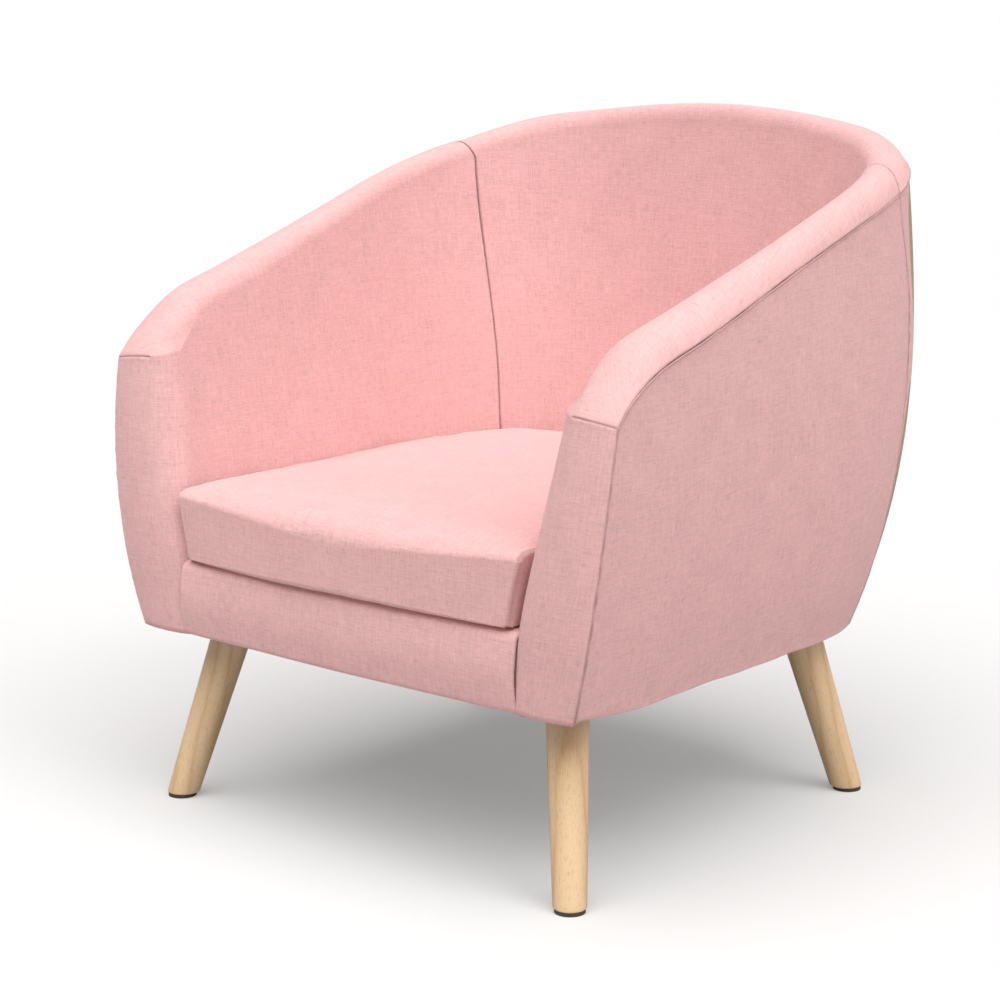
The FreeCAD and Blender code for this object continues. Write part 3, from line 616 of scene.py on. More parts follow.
def make_front_border(cloth, material):
    """Cloth over the front rail, between the arms and under the cushion."""
    low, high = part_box("front_border_cover")
    face, bottom, top = low.y, low.z, high.z
    half = high.x + 0.004
    profile = [(face + 0.030, bottom + 0.0012), (face + 0.015, bottom), (face + 0.007, bottom)]
    for k in range(1, 6):
        turn = math.radians(18 * k)
        profile.append((face + 0.006 * (1 - math.sin(turn)), bottom + 0.006 * (1 - math.cos(turn))))
    for k in range(1, 12):
        share = k / 12
        bulge = 0.0035 * math.sin(math.pi * share)
        profile.append((face - bulge, mix(bottom + 0.006, top - 0.011, share)))
    for k in range(0, 7):
        turn = math.radians(15 * k)
        profile.append((face + 0.011 * (1 - math.cos(turn)), top - 0.011 * (1 - math.sin(turn))))
    profile += [(face + 0.022, top), (face + 0.034, top), (face + 0.050, top)]
    grid = []
    for share in steps(2 * half, cloth.pitch):
        x = mix(-half, half, share)
        bow = 0.003 * (1 - (x / half) ** 2)
        grid.append([(x, y - bow, z) for y, z in profile])
    grid = np.array(grid)
    seams = [grid[0], grid[-1]]
    piece = grid_piece("front_border_cloth", grid, seams, cloth, material, 6.4, True)
    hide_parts("front_border_cover")
    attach(piece, CHAIR)


# ---- the loose seat cushion ----------------------------------------------------------------


class Box:
    """Vertices and quads on the surface of a box-shaped lattice."""

    def __init__(self, across, along, up):
        self.counts = (across, along, up)
        self.index = {}
        self.sides = []

    def vertex(self, i, j, k):
        return self.index.setdefault((i, j, k), len(self.index))

    def side(self, name, corner_of, first, second):
        for a in range(first):
            for b in range(second):
                ring = ((a, b), (a + 1, b), (a + 1, b + 1), (a, b + 1))
                self.sides.append((name, [self.vertex(*corner_of(*spot_ab)) for spot_ab in ring]))

    def build(self):
        nx, ny, nz = self.counts
        self.side("bottom", lambda a, b: (b, a, 0), ny, nx)
        self.side("top", lambda a, b: (a, b, nz), nx, ny)
        self.side("front", lambda a, b: (a, 0, b), nx, nz)
        self.side("rear", lambda a, b: (b, ny, a), nz, nx)
        self.side("left", lambda a, b: (0, b, a), nz, ny)
        self.side("right", lambda a, b: (nx, a, b), ny, nz)
        return self


def make_cushion(cloth, shape, material):
    low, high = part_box("cushion_cover")
    front = low.y
    centre = CUSHION_SHOULDER_Y
    xs = [mix(-1, 1, s) for s in steps(0.48, shape.pitch)]
    ys = [-1 + s for s in steps(0.39, shape.pitch, True, False)][:-1]
    ys += steps(0.182, shape.pitch, False, True)
    zs = steps(high.z - low.z, shape.pitch)
    box = Box(len(xs) - 1, len(ys) - 1, len(zs) - 1).build()
    nose, toe = shape.nose_radius, shape.toe_radius

    def place(i, j, k):
        p, q, level = xs[i], ys[j], zs[k]
        roundness = shape.rear_roundness if q > 0 else shape.front_roundness
        u = p * math.sqrt(1 - roundness * q * q / 2)
        v = q * math.sqrt(1 - roundness * p * p / 2)
        if q > 0:
            back = mix(high.y - 0.015, high.y, level)
            y = centre + v * (back - centre)
        else:
            y = centre + v * (centre - front)
        over = max(front + nose - y, 0.0)
        under = max(front + toe - y, 0.0)
        top = high.z - (nose - math.sqrt(max(nose ** 2 - over ** 2, 0.0)))
        bottom = low.z + (toe - math.sqrt(max(toe ** 2 - under ** 2, 0.0)))
        z = mix(bottom, top, level)
        half = high.x - shape.taper * (1 - level)
        return u * half, y, z

    points = np.zeros((len(box.index), 3))
    for (i, j, k), n in box.index.items():
        points[n] = place(i, j, k)
    quads = np.array([quad for _, quad in box.sides])
    base, normals = points, vertex_normals(points, quads)
    points = inflate(points, quads, shape)
    points = settle_cushion(points, base, normals, low, shape)
    nx, ny, nz = box.counts

    def line(keys):
        return np.array([points[box.index[key]] for key in keys])
    seams = []
    for i in (0, nx):
        seams.append(line([(i, 0, k) for k in range(nz + 1)]
                          + [(i, j, nz) for j in range(1, ny + 1)]))
        seams.append(line([(i, j, 0) for j in range(ny + 1)]))
    for k in (0, nz):
        seams.append(line([(i, ny, k) for i in range(nx + 1)]))
    rest = points
    points = soften(points, quads, cloth.unevenness * 1.3, 6.0, 8.8)
    points, crease = pull_seams(points, rest, quads, seams, cloth)
    piece = cushion_mesh("seat_cushion", points, box, material)
    # The crease values darken the cushion colour along its seams: painted shade.
    add_values(piece.data, "crease", crease)
    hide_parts("cushion_cover")
    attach(piece, CUSHION)


def cushion_mesh(name, points, box, material):
    """The cushion as a mesh whose cloth coordinates follow each of its panels."""
    mesh = bpy.data.meshes.new(name)
    mesh.from_pydata([tuple(p) for p in points], [], [quad for _, quad in box.sides])
    layer = mesh.uv_layers.new(name="cloth")
    uvs = []
    girth = math.pi / 2
    for side, quad in box.sides:
        for n in quad:
            x, y, z = points[n]
            if side in ("top", "bottom"):
                uvs.append((x + 9.0, y + 9.0))
            elif side == "front":
                uvs.append((x + 9.0, z + 8.25))
            else:
                turn = math.atan2(y - BEND_Y, x)
                uvs.append((turn * 0.28 * girth / 1.5 + 12.0 + (y if side != "rear" else 0), z + 2.0))
    layer.data.foreach_set("uv", np.array(uvs, dtype=np.float32).ravel())
    mesh.polygons.foreach_set("use_smooth", [True] * len(mesh.polygons))
    mesh.materials.append(material)
    mesh.update()
    piece = bpy.data.objects.new(name, mesh)
    bpy.context.scene.collection.objects.link(piece)
    return piece


def inflate(points, quads, shape):
    """Blows the cushion up as cloth under pressure, and caps how far each point moves."""
    mesh = bpy.data.meshes.new("inflating")
    mesh.from_pydata([tuple(p) for p in points], [], [tuple(int(v) for v in q) for q in quads])
    mesh.update()
    item = bpy.data.objects.new("inflating", mesh)
    bpy.context.scene.collection.objects.link(item)
    cloth = item.modifiers.new("Cloth", "CLOTH")
    settings = cloth.settings
    settings.quality = 6
    settings.use_pressure = True
    settings.uniform_pressure_force = shape.pressure
    settings.effector_weights.gravity = 0
    settings.tension_stiffness = 40
    settings.compression_stiffness = 40
    settings.shear_stiffness = 20
    settings.bending_stiffness = 4
    cloth.collision_settings.use_collision = False
    cloth.collision_settings.use_self_collision = False
    cloth.point_cache.frame_start = 1
    cloth.point_cache.frame_end = 20
    scene = bpy.context.scene
    for number in range(1, 21):
        scene.frame_set(number)
    depsgraph = bpy.context.evaluated_depsgraph_get()
    result = item.evaluated_get(depsgraph).to_mesh()
    moved = np.empty(len(points) * 3)
    result.vertices.foreach_get("co", moved)
    moved = moved.reshape(-1, 3)
    scene.frame_set(1)
    bpy.data.objects.remove(item)
    bpy.data.meshes.remove(mesh)
    shift = moved - points
    length = np.linalg.norm(shift, axis=1, keepdims=True)
    return points + shift * np.minimum(1, shape.cap / np.maximum(length, 1e-9))


def settle_cushion(points, base, normals, low, shape):
    """Keeps the cushion full, on the deck, and clear of the arms and the back."""
    swell = np.sum((points - base) * normals, axis=1)
    points = points + normals * np.maximum(shape.least_swell - swell, 0)[:, None]
    for point in points:
        across, depth = point[0] / 0.24, (point[1] + 0.07) / 0.28
        dome = max(1 - across ** 4, 0) * max(1 - depth ** 4, 0)
        share = smooth(low.z, low.z + 0.076, point[2])
        point[2] += shape.crown * dome * share
        point[2] = max(point[2], low.z - 0.001)
        x, y = abs(point[0]), point[1] - BEND_Y
        station = 0 if y <= 0 else min(math.degrees(math.atan2(y, max(x, 1e-6))) / 90, 1)
        radius = x if y <= 0 else math.hypot(x, y)
        limit = inner(station, point[2]) - shape.arm_gap
        if radius > limit:
            share = limit / radius
            point[0] *= share
            if y > 0:
                point[1] = BEND_Y + y * share
    return points


# ---- legs -------------------------------------------------------------------------------


def make_legs(wood, material):
    """Turned tapered legs that lean outwards, cut level at both ends."""
    for corner in ("front_right", "front_left", "rear_right", "rear_left"):
        low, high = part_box(f"leg_{corner}")
        foot_low, foot_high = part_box(f"leg_glide_{corner}")
        foot = (foot_low + foot_high) / 2
        foot.z = 0.0
        side = 1 if foot.x > 0 else -1
        lean = Vector((-side * wood.lean_side, wood.lean_front if foot.y < 0 else wood.lean_rear, 1))
        flat = Vector((lean.x, lean.y, 0))
        stretch = lean.length
        along, cross = flat.normalized(), Vector((-flat.y, flat.x, 0)).normalized()
        bottom, top = low.z, high.z
        edge = wood.foot_edge
        levels = [bottom + edge * (1 - math.cos(math.radians(15 * k))) for k in range(7)]
        pulls = [edge * (1 - math.sin(math.radians(15 * k))) for k in range(7)]
        levels += [mix(bottom + edge, top, k / 36) for k in range(1, 37)]
        pulls += [0.0] * 36
        points, uvs, grain, faces = [], [], [], []
        count = 48
        for z, pull in zip(levels, pulls):
            centre = foot + lean * z
            radius = mix(wood.foot_radius, wood.head_radius, z / top) - pull
            for n in range(count):
                turn = 2 * math.pi * n / count
                x, y = radius * math.cos(turn), radius * math.sin(turn)
                point = centre + along * (x * stretch) + cross * y
                points.append(tuple(point))
                uvs.append((n / count * 0.13, z))
                grain.append((x + foot.x, y + foot.y, z * stretch))
        rings = len(levels)
        for r in range(rings - 1):
            for n in range(count):
                a, b = r * count + n, r * count + (n + 1) % count
                faces.append((a, b, b + count, a + count))
        faces.append(tuple(range(count - 1, -1, -1)))
        faces.append(tuple((rings - 1) * count + n for n in range(count)))
        piece = mesh_piece(f"turned_leg_{corner}", points, faces, uvs, material, grain)
        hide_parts(f"leg_{corner}")
        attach(piece, CHAIR)


# ---- shader groups and materials -----------------------------------------------------------


class Tree:
    """Short ways to add and join shader nodes."""

    def __init__(self, tree):
        self.tree = tree
        self.nodes = tree.nodes

    def node(self, kind, inputs=None, **settings):
        item = self.nodes.new(kind)
        for name, value in settings.items():
            setattr(item, name, value)
        for name, value in (inputs or {}).items():
            socket = item.inputs[name]
            if isinstance(value, bpy.types.NodeSocket):
                self.tree.links.new(value, socket)
            else:
                socket.default_value = value
        return item

    def math(self, operation, *values, clamp=False):
        inputs = dict(enumerate(values))
        return self.node("ShaderNodeMath", inputs, operation=operation, use_clamp=clamp).outputs[0]

    def noise(self, vector, scale, detail=2.0, rough=0.5, kind="3D", distortion=0.0):
        item = self.node("ShaderNodeTexNoise", {"Vector": vector, "Scale": scale, "Detail": detail,
                                                "Roughness": rough, "Distortion": distortion},
                         noise_dimensions=kind)
        return item.outputs["Fac"]

    def stretch(self, vector, scale):
        item = self.node("ShaderNodeMapping", {"Vector": vector, "Scale": scale})
        return item.outputs["Vector"]

    def ramp(self, value, stops, mode="LINEAR"):
        item = self.node("ShaderNodeValToRGB", {"Fac": value})
        ramp = item.color_ramp
        ramp.interpolation = mode
        while len(ramp.elements) < len(stops):
            ramp.elements.new(0.5)
        for element, (at, colour) in zip(ramp.elements, stops):
            element.position = at
            element.color = (*colour, 1)
        return item.outputs["Color"]


def group(name, inputs, outputs):
    """An empty shader group with named sockets, and its input and output nodes."""
    tree = bpy.data.node_groups.new(name, "ShaderNodeTree")
    for label, kind, value in inputs:
        socket = tree.interface.new_socket(label, in_out="INPUT", socket_type=kind)
        if value is not None:
            socket.default_value = value
    for label, kind in outputs:
        tree.interface.new_socket(label, in_out="OUTPUT", socket_type=kind)
    work = Tree(tree)
    start = work.node("NodeGroupInput")
    end = work.node("NodeGroupOutput")
    return work, start.outputs, end


def weave_group():
    """Plain-woven cloth with slubs: warp and weft threads of uneven thickness and tone."""
    number, vector = "NodeSocketFloat", "NodeSocketVector"
    work, given, end = group(
        "linen_weave",
        [("Vector", vector, None), ("Threads", number, 900.0), ("Slub", number, 0.05),
         ("Thread Tone", number, 0.5), ("Mottle", number, 0.3)],
        [("Tone", number), ("Height", number)])
    threads = given["Threads"]
    slow = work.math("MULTIPLY", threads, given["Slub"])
    parts = work.node("ShaderNodeSeparateXYZ", {"Vector": given["Vector"]})
    tones = []
    for a, b in (("X", "Y"), ("Y", "X")):
        quick = work.math("MULTIPLY", parts.outputs[a], threads)
        drift = work.math("MULTIPLY", parts.outputs[b], slow)
        place = work.node("ShaderNodeCombineXYZ", {"X": quick, "Y": drift})
        tones.append(work.noise(place.outputs[0], 1.0, 1.0, 0.4, "2D"))
        wide = work.node("ShaderNodeVectorMath", {0: place.outputs[0], 1: (0.31, 0.22, 1)},
                         operation="MULTIPLY")
        tones.append(work.noise(wide.outputs[0], 1.0, 2.0, 0.6, "2D"))
    fine = work.math("ADD", tones[0], tones[2])
    coarse = work.math("ADD", tones[1], tones[3])
    both = work.math("ADD", work.math("MULTIPLY", fine, 0.30), work.math("MULTIPLY", coarse, 0.20))
    cloud = work.noise(given["Vector"], 22.0, 3.0, 0.55, "2D")
    patch = work.math("MULTIPLY", work.math("SUBTRACT", cloud, 0.5), given["Mottle"])
    spread = work.math("MULTIPLY", work.math("SUBTRACT", both, 0.5), given["Thread Tone"])
    tone = work.math("ADD", work.math("ADD", spread, patch), 0.5, clamp=True)
    work.tree.links.new(tone, end.inputs["Tone"])
    waves = []
    for a, turn in (("X", 0.0), ("Y", 1.57)):
        swing = work.math("MULTIPLY", work.math("MULTIPLY", parts.outputs[a], threads), 3.14159)
        waves.append(work.math("SINE", work.math("ADD", swing, turn)))
    cross = work.math("MULTIPLY", waves[0], waves[1])
    height = work.math("ADD", work.math("MULTIPLY", cross, 0.25), work.math("MULTIPLY", both, 1.6))
    work.tree.links.new(height, end.inputs["Height"])
    return work.tree


def grain_group():
    """Straight-grained wood: long streaks, growth lines that wander, and short flecks."""
    number, vector = "NodeSocketFloat", "NodeSocketVector"
    work, given, end = group(
        "wood_grain",
        [("Vector", vector, None), ("Rings", number, 70.0), ("Wander", number, 1.0),
         ("Fleck", number, 0.3)],
        [("Tone", number), ("Fleck Mask", number), ("Height", number)])
    long = work.stretch(given["Vector"], (1.0, 1.0, 0.10))
    sway = work.noise(work.stretch(given["Vector"], (1, 1, 0.35)), 24.0, 2.0, 0.5)
    swing = work.math("MULTIPLY", work.math("SUBTRACT", sway, 0.5), given["Wander"])
    parts = work.node("ShaderNodeSeparateXYZ", {"Vector": long})
    ring = work.math("MULTIPLY", parts.outputs["X"], given["Rings"])
    ring = work.math("ADD", ring, work.math("MULTIPLY", parts.outputs["Z"], given["Rings"]))
    line = work.math("FRACT", work.math("ADD", ring, swing))
    hump = work.math("PINGPONG", line, 0.5)
    streak = work.noise(work.stretch(given["Vector"], (1, 1, 0.03)), 420.0, 3.0, 0.6)
    base = work.math("ADD", work.math("MULTIPLY", hump, 1.1), work.math("MULTIPLY", streak, 0.45))
    work.tree.links.new(work.math("MULTIPLY", base, 1.0, clamp=True), end.inputs["Tone"])
    fleck = work.noise(work.stretch(given["Vector"], (1, 1, 0.16)), 900.0, 1.0, 0.5)
    sharp = work.math("GREATER_THAN", fleck, 0.63)
    work.tree.links.new(work.math("MULTIPLY", sharp, given["Fleck"]), end.inputs["Fleck Mask"])
    work.tree.links.new(work.math("ADD", base, streak), end.inputs["Height"])
    return work.tree


def new_material(name):
    material = bpy.data.materials.new(name)
    material.use_nodes = True
    material.node_tree.nodes.clear()
    work = Tree(material.node_tree)
    shader = work.node("ShaderNodeBsdfPrincipled")
    output = work.node("ShaderNodeOutputMaterial")
    work.tree.links.new(shader.outputs[0], output.inputs[0])
    return material, work, shader


def shade(colour, factor):
    return tuple(min(c * factor, 1.0) for c in colour)


def linen_material(name, cloth, colour, weave, contrast=1.0):
    material, work, shader = new_material(name)
    uv = work.node("ShaderNodeUVMap", uv_map="cloth")
    cloth_map = work.node("ShaderNodeGroup", node_tree=weave)
    work.tree.links.new(uv.outputs[0], cloth_map.inputs["Vector"])
    cloth_map.inputs["Threads"].default_value = cloth.threads
    cloth_map.inputs["Slub"].default_value = cloth.slub
    cloth_map.inputs["Thread Tone"].default_value = cloth.thread_tone * contrast
    cloth_map.inputs["Mottle"].default_value = cloth.mottle
    tint = work.ramp(cloth_map.outputs["Tone"],
                     [(0.0, shade(colour, 0.58)), (0.5, colour), (1.0, shade(colour, 1.32))])
    # Painted shade: the cloth colour is mixed towards a dark tone along the seam creases, as far as the
    # crease values reach.
    crease = work.node("ShaderNodeAttribute", attribute_name="crease").outputs["Fac"]
    painted_seam_shade = work.node("ShaderNodeMix", {"Factor": work.math("MULTIPLY", crease, 0.5)},
                     data_type="RGBA")
    painted_seam_shade.inputs["B"].default_value = (*shade(colour, 0.35), 1)
    work.tree.links.new(tint, painted_seam_shade.inputs["A"])
    work.tree.links.new(painted_seam_shade.outputs["Result"], shader.inputs["Base Color"])
    bump = work.node("ShaderNodeBump", {"Height": cloth_map.outputs["Height"], "Strength": 0.5,
                                        "Distance": 0.0006})
    work.tree.links.new(bump.outputs[0], shader.inputs["Normal"])
    shader.inputs["Roughness"].default_value = 0.92
    shader.inputs["Specular IOR Level"].default_value = 0.25
    shader.inputs["Sheen Weight"].default_value = 0.25
    shader.inputs["Sheen Roughness"].default_value = 0.5
    shader.inputs["Sheen Tint"].default_value = (1.0, 0.80, 0.80, 1)
    return material


def wood_material(name, grain, light, dark, rings, rough, vector="grain", fleck=0.3):
    material, work, shader = new_material(name)
    if vector == "grain":
        place = work.node("ShaderNodeAttribute", attribute_name="grain").outputs["Vector"]
    else:
        place = work.node("ShaderNodeTexCoord").outputs["Object"]
    wood = work.node("ShaderNodeGroup", node_tree=grain)
    work.tree.links.new(place, wood.inputs["Vector"])
    wood.inputs["Rings"].default_value = rings
    wood.inputs["Fleck"].default_value = fleck
    tone = work.ramp(wood.outputs["Tone"], [(0.0, light), (0.55, shade(light, 0.92)), (1.0, dark)])
    mixer = work.node("ShaderNodeMix", data_type="RGBA")
    mixer.inputs["B"].default_value = (*shade(dark, 0.7), 1)
    work.tree.links.new(wood.outputs["Fleck Mask"], mixer.inputs["Factor"])
    work.tree.links.new(tone, mixer.inputs["A"])
    work.tree.links.new(mixer.outputs["Result"], shader.inputs["Base Color"])
    bump = work.node("ShaderNodeBump", {"Height": wood.outputs["Height"], "Strength": 0.15,
                                        "Distance": 0.0003})
    work.tree.links.new(bump.outputs[0], shader.inputs["Normal"])
    shader.inputs["Roughness"].default_value = rough
    return material


def plain_material(name, colour, scale, contrast, rough, bump=0.2, metal=0.0, stretch=(1, 1, 1)):
    """A mottled finish on object coordinates for foam, felt, steel, board and plastic."""
    material, work, shader = new_material(name)
    place = work.node("ShaderNodeTexCoord").outputs["Object"]
    value = work.noise(work.stretch(place, stretch), scale, 4.0, 0.6)
    tint = work.ramp(value, [(0.25, shade(colour, 1 - contrast)), (0.75, shade(colour, 1 + contrast))])
    work.tree.links.new(tint, shader.inputs["Base Color"])
    lift = work.node("ShaderNodeBump", {"Height": value, "Strength": bump, "Distance": 0.0006})
    work.tree.links.new(lift.outputs[0], shader.inputs["Normal"])
    shader.inputs["Roughness"].default_value = rough
    shader.inputs["Metallic"].default_value = metal
    return material


# ---- what a user may change --------------------------------------------------------------


class TubCloth(bpy.types.PropertyGroup):
    colour: bpy.props.FloatVectorProperty(
        name="Cloth Colour", description="Main colour of the linen cloth", subtype="COLOR",
        size=3, min=0, max=1, default=(0.74, 0.43, 0.42))
    threads: bpy.props.FloatProperty(
        name="Threads", description="Threads in a metre of cloth", default=1150, min=100)
    slub: bpy.props.FloatProperty(
        name="Slub", description="How quickly a thread changes along its length", default=0.085)
    thread_tone: bpy.props.FloatProperty(
        name="Thread Tone", description="Contrast between light and dark threads", default=1.25)
    mottle: bpy.props.FloatProperty(
        name="Mottle", description="Strength of soft patches in the colour", default=0.14)
    stuffing: bpy.props.FloatProperty(
        name="Stuffing", description="How far the stuffing lifts the cloth between its seams",
        unit="LENGTH", default=0.0025)
    thickness: bpy.props.FloatProperty(
        name="Thickness", description="Thickness of the cloth", unit="LENGTH", default=0.0018)
    pitch: bpy.props.FloatProperty(
        name="Mesh Pitch", description="Distance between points of a cloth mesh", unit="LENGTH",
        default=0.0065)
    seam_depth: bpy.props.FloatProperty(
        name="Seam Depth", description="Depth of the crease at a seam", unit="LENGTH",
        default=0.0019)
    seam_width: bpy.props.FloatProperty(
        name="Seam Width", description="Half width of the crease", unit="LENGTH", default=0.0011)
    seam_pull: bpy.props.FloatProperty(
        name="Seam Pull", description="How far the stuffing is pulled in beside a seam",
        unit="LENGTH", default=0.0010)
    pucker_height: bpy.props.FloatProperty(
        name="Pucker Height", description="Height of the small gathers beside a seam",
        unit="LENGTH", default=0.00022)
    pucker_pitch: bpy.props.FloatProperty(
        name="Pucker Pitch", description="Distance between gathers", unit="LENGTH", default=0.017)
    unevenness: bpy.props.FloatProperty(
        name="Unevenness", description="Slight waves of the stuffing", unit="LENGTH",
        default=0.0012)
    side_bias: bpy.props.FloatProperty(
        name="Side Bias", description="Turn of the weave on the outer sides", subtype="ANGLE",
        default=0.05)


class TubCushion(bpy.types.PropertyGroup):
    pitch: bpy.props.FloatProperty(
        name="Mesh Pitch", description="Distance between points of the cushion", unit="LENGTH",
        default=0.008)
    nose_radius: bpy.props.FloatProperty(
        name="Nose Radius", description="Radius of the front top edge", unit="LENGTH",
        default=0.026)
    toe_radius: bpy.props.FloatProperty(
        name="Toe Radius", description="Radius of the front bottom edge", unit="LENGTH",
        default=0.005)
    taper: bpy.props.FloatProperty(
        name="Taper", description="How much narrower each side is at the bottom", unit="LENGTH",
        default=0.014)
    crown: bpy.props.FloatProperty(
        name="Crown", description="Rise of the middle over the seams", unit="LENGTH",
        default=0.005)
    arm_gap: bpy.props.FloatProperty(
        name="Arm Gap", description="Space kept beside the arms and the back", unit="LENGTH",
        default=0.0035)
    least_swell: bpy.props.FloatProperty(
        name="Least Swell", description="The least that the cloth stands off the foam",
        unit="LENGTH", default=0.0012)
    front_roundness: bpy.props.FloatProperty(
        name="Front Roundness", description="How round the front corners are in plan",
        default=0.09)
    rear_roundness: bpy.props.FloatProperty(
        name="Rear Roundness", description="How round the rear corners are in plan", default=0.74)
    pressure: bpy.props.FloatProperty(
        name="Pressure", description="Pressure inside the cloth while it is blown up", default=4.0)
    cap: bpy.props.FloatProperty(
        name="Cap", description="The furthest that a point moves while it is blown up",
        unit="LENGTH", default=0.008)


class TubWood(bpy.types.PropertyGroup):
    light: bpy.props.FloatVectorProperty(
        name="Light Wood", description="Colour between the growth lines", subtype="COLOR",
        size=3, min=0, max=1, default=(0.80, 0.56, 0.33))
    dark: bpy.props.FloatVectorProperty(
        name="Dark Wood", description="Colour of the growth lines", subtype="COLOR",
        size=3, min=0, max=1, default=(0.58, 0.32, 0.14))
    foot_radius: bpy.props.FloatProperty(
        name="Foot Radius", description="Radius of a leg at the floor", unit="LENGTH",
        default=0.0175)
    head_radius: bpy.props.FloatProperty(
        name="Head Radius", description="Radius of a leg under the seat", unit="LENGTH",
        default=0.023)
    foot_edge: bpy.props.FloatProperty(
        name="Foot Edge", description="Rounding of the edge at the foot", unit="LENGTH",
        default=0.0022)
    lean_side: bpy.props.FloatProperty(
        name="Side Lean", description="Run inwards for each metre of height", default=0.217)
    lean_front: bpy.props.FloatProperty(
        name="Front Lean", description="Run backwards of a front leg for each metre", default=0.24)
    lean_rear: bpy.props.FloatProperty(
        name="Rear Lean", description="Run backwards of a rear leg for each metre", default=-0.229)


class TubStage(bpy.types.PropertyGroup):
    azimuth: bpy.props.FloatProperty(
        name="Azimuth", description="Camera's turn round the chair", subtype="ANGLE",
        default=math.radians(40.44))
    elevation: bpy.props.FloatProperty(
        name="Elevation", description="Camera's angle above level", subtype="ANGLE",
        default=math.radians(11.73))
    distance: bpy.props.FloatProperty(
        name="Distance", description="Camera's distance from its target", unit="LENGTH",
        default=2.8)
    lens: bpy.props.FloatProperty(
        name="Lens", description="Focal length in millimetres", default=90.0)
    target: bpy.props.FloatVectorProperty(
        name="Target", description="Point that the camera looks at", subtype="XYZ", size=3,
        default=(-0.004, -0.076, 0.347))
    sky: bpy.props.FloatProperty(
        name="Sky", description="Strength of the even light from all round", default=0.20)
    overhead: bpy.props.FloatProperty(
        name="Overhead", description="Strength of the light from above", default=1.25)
    overhead_turn: bpy.props.FloatProperty(
        name="Overhead Turn", description="Side that the light from above leans to",
        subtype="ANGLE", default=math.radians(25))
    overhead_height: bpy.props.FloatProperty(
        name="Overhead Height", description="Angle of the light from above over the floor",
        subtype="ANGLE", default=math.radians(71))
    key: bpy.props.FloatProperty(
        name="Key", description="Strength of the light from the side", default=0.28)
    key_turn: bpy.props.FloatProperty(
        name="Key Turn", description="Side that the key light comes from", subtype="ANGLE",
        default=math.radians(92))
    key_height: bpy.props.FloatProperty(
        name="Key Height", description="Angle of the key light over the floor", subtype="ANGLE",
        default=math.radians(40))


# ---- operators ------------------------------------------------------------------------------


def shared_material(name, make):
    return bpy.data.materials.get(name) or make()


def main_linen(scene):
    cloth = scene.tub_cloth

    def make():
        weave = bpy.data.node_groups.get("linen_weave") or weave_group()
        return linen_material("pink_linen", cloth, tuple(cloth.colour), weave)
    return shared_material("pink_linen", make)


class TUB_OT_outside_covers(bpy.types.Operator):
    """Sews the three outside covers"""
    bl_idname = "tub.outside_covers"
    bl_label = "Outside Covers"

    def execute(self, context):
        make_outside_covers(context.scene.tub_cloth, main_linen(context.scene))
        return {"FINISHED"}


class TUB_OT_inside_covers(bpy.types.Operator):
    """Sews the insides of the arms and of the back"""
    bl_idname = "tub.inside_covers"
    bl_label = "Inside Covers"

    def execute(self, context):
        material = main_linen(context.scene)
        make_back_inside(context.scene.tub_cloth, material)
        make_arm_insides(context.scene.tub_cloth, material)
        return {"FINISHED"}


class TUB_OT_front_border(bpy.types.Operator):
    """Wraps the front rail"""
    bl_idname = "tub.front_border"
    bl_label = "Front Border"

    def execute(self, context):
        make_front_border(context.scene.tub_cloth, main_linen(context.scene))
        return {"FINISHED"}


class TUB_OT_seat_cushion(bpy.types.Operator):
    """Blows up and settles the loose seat cushion"""
    bl_idname = "tub.seat_cushion"
    bl_label = "Seat Cushion"

    def execute(self, context):
        scene = context.scene
        make_cushion(scene.tub_cloth, scene.tub_cushion, main_linen(scene))
        return {"FINISHED"}


class TUB_OT_legs(bpy.types.Operator):
    """Turns the four wooden legs"""
    bl_idname = "tub.legs"
    bl_label = "Legs"

    def execute(self, context):
        wood = context.scene.tub_wood
        grain = bpy.data.node_groups.get("wood_grain") or grain_group()
        material = wood_material("leg_beech", grain, tuple(wood.light), tuple(wood.dark), 55.0, 0.42)
        make_legs(wood, material)
        return {"FINISHED"}


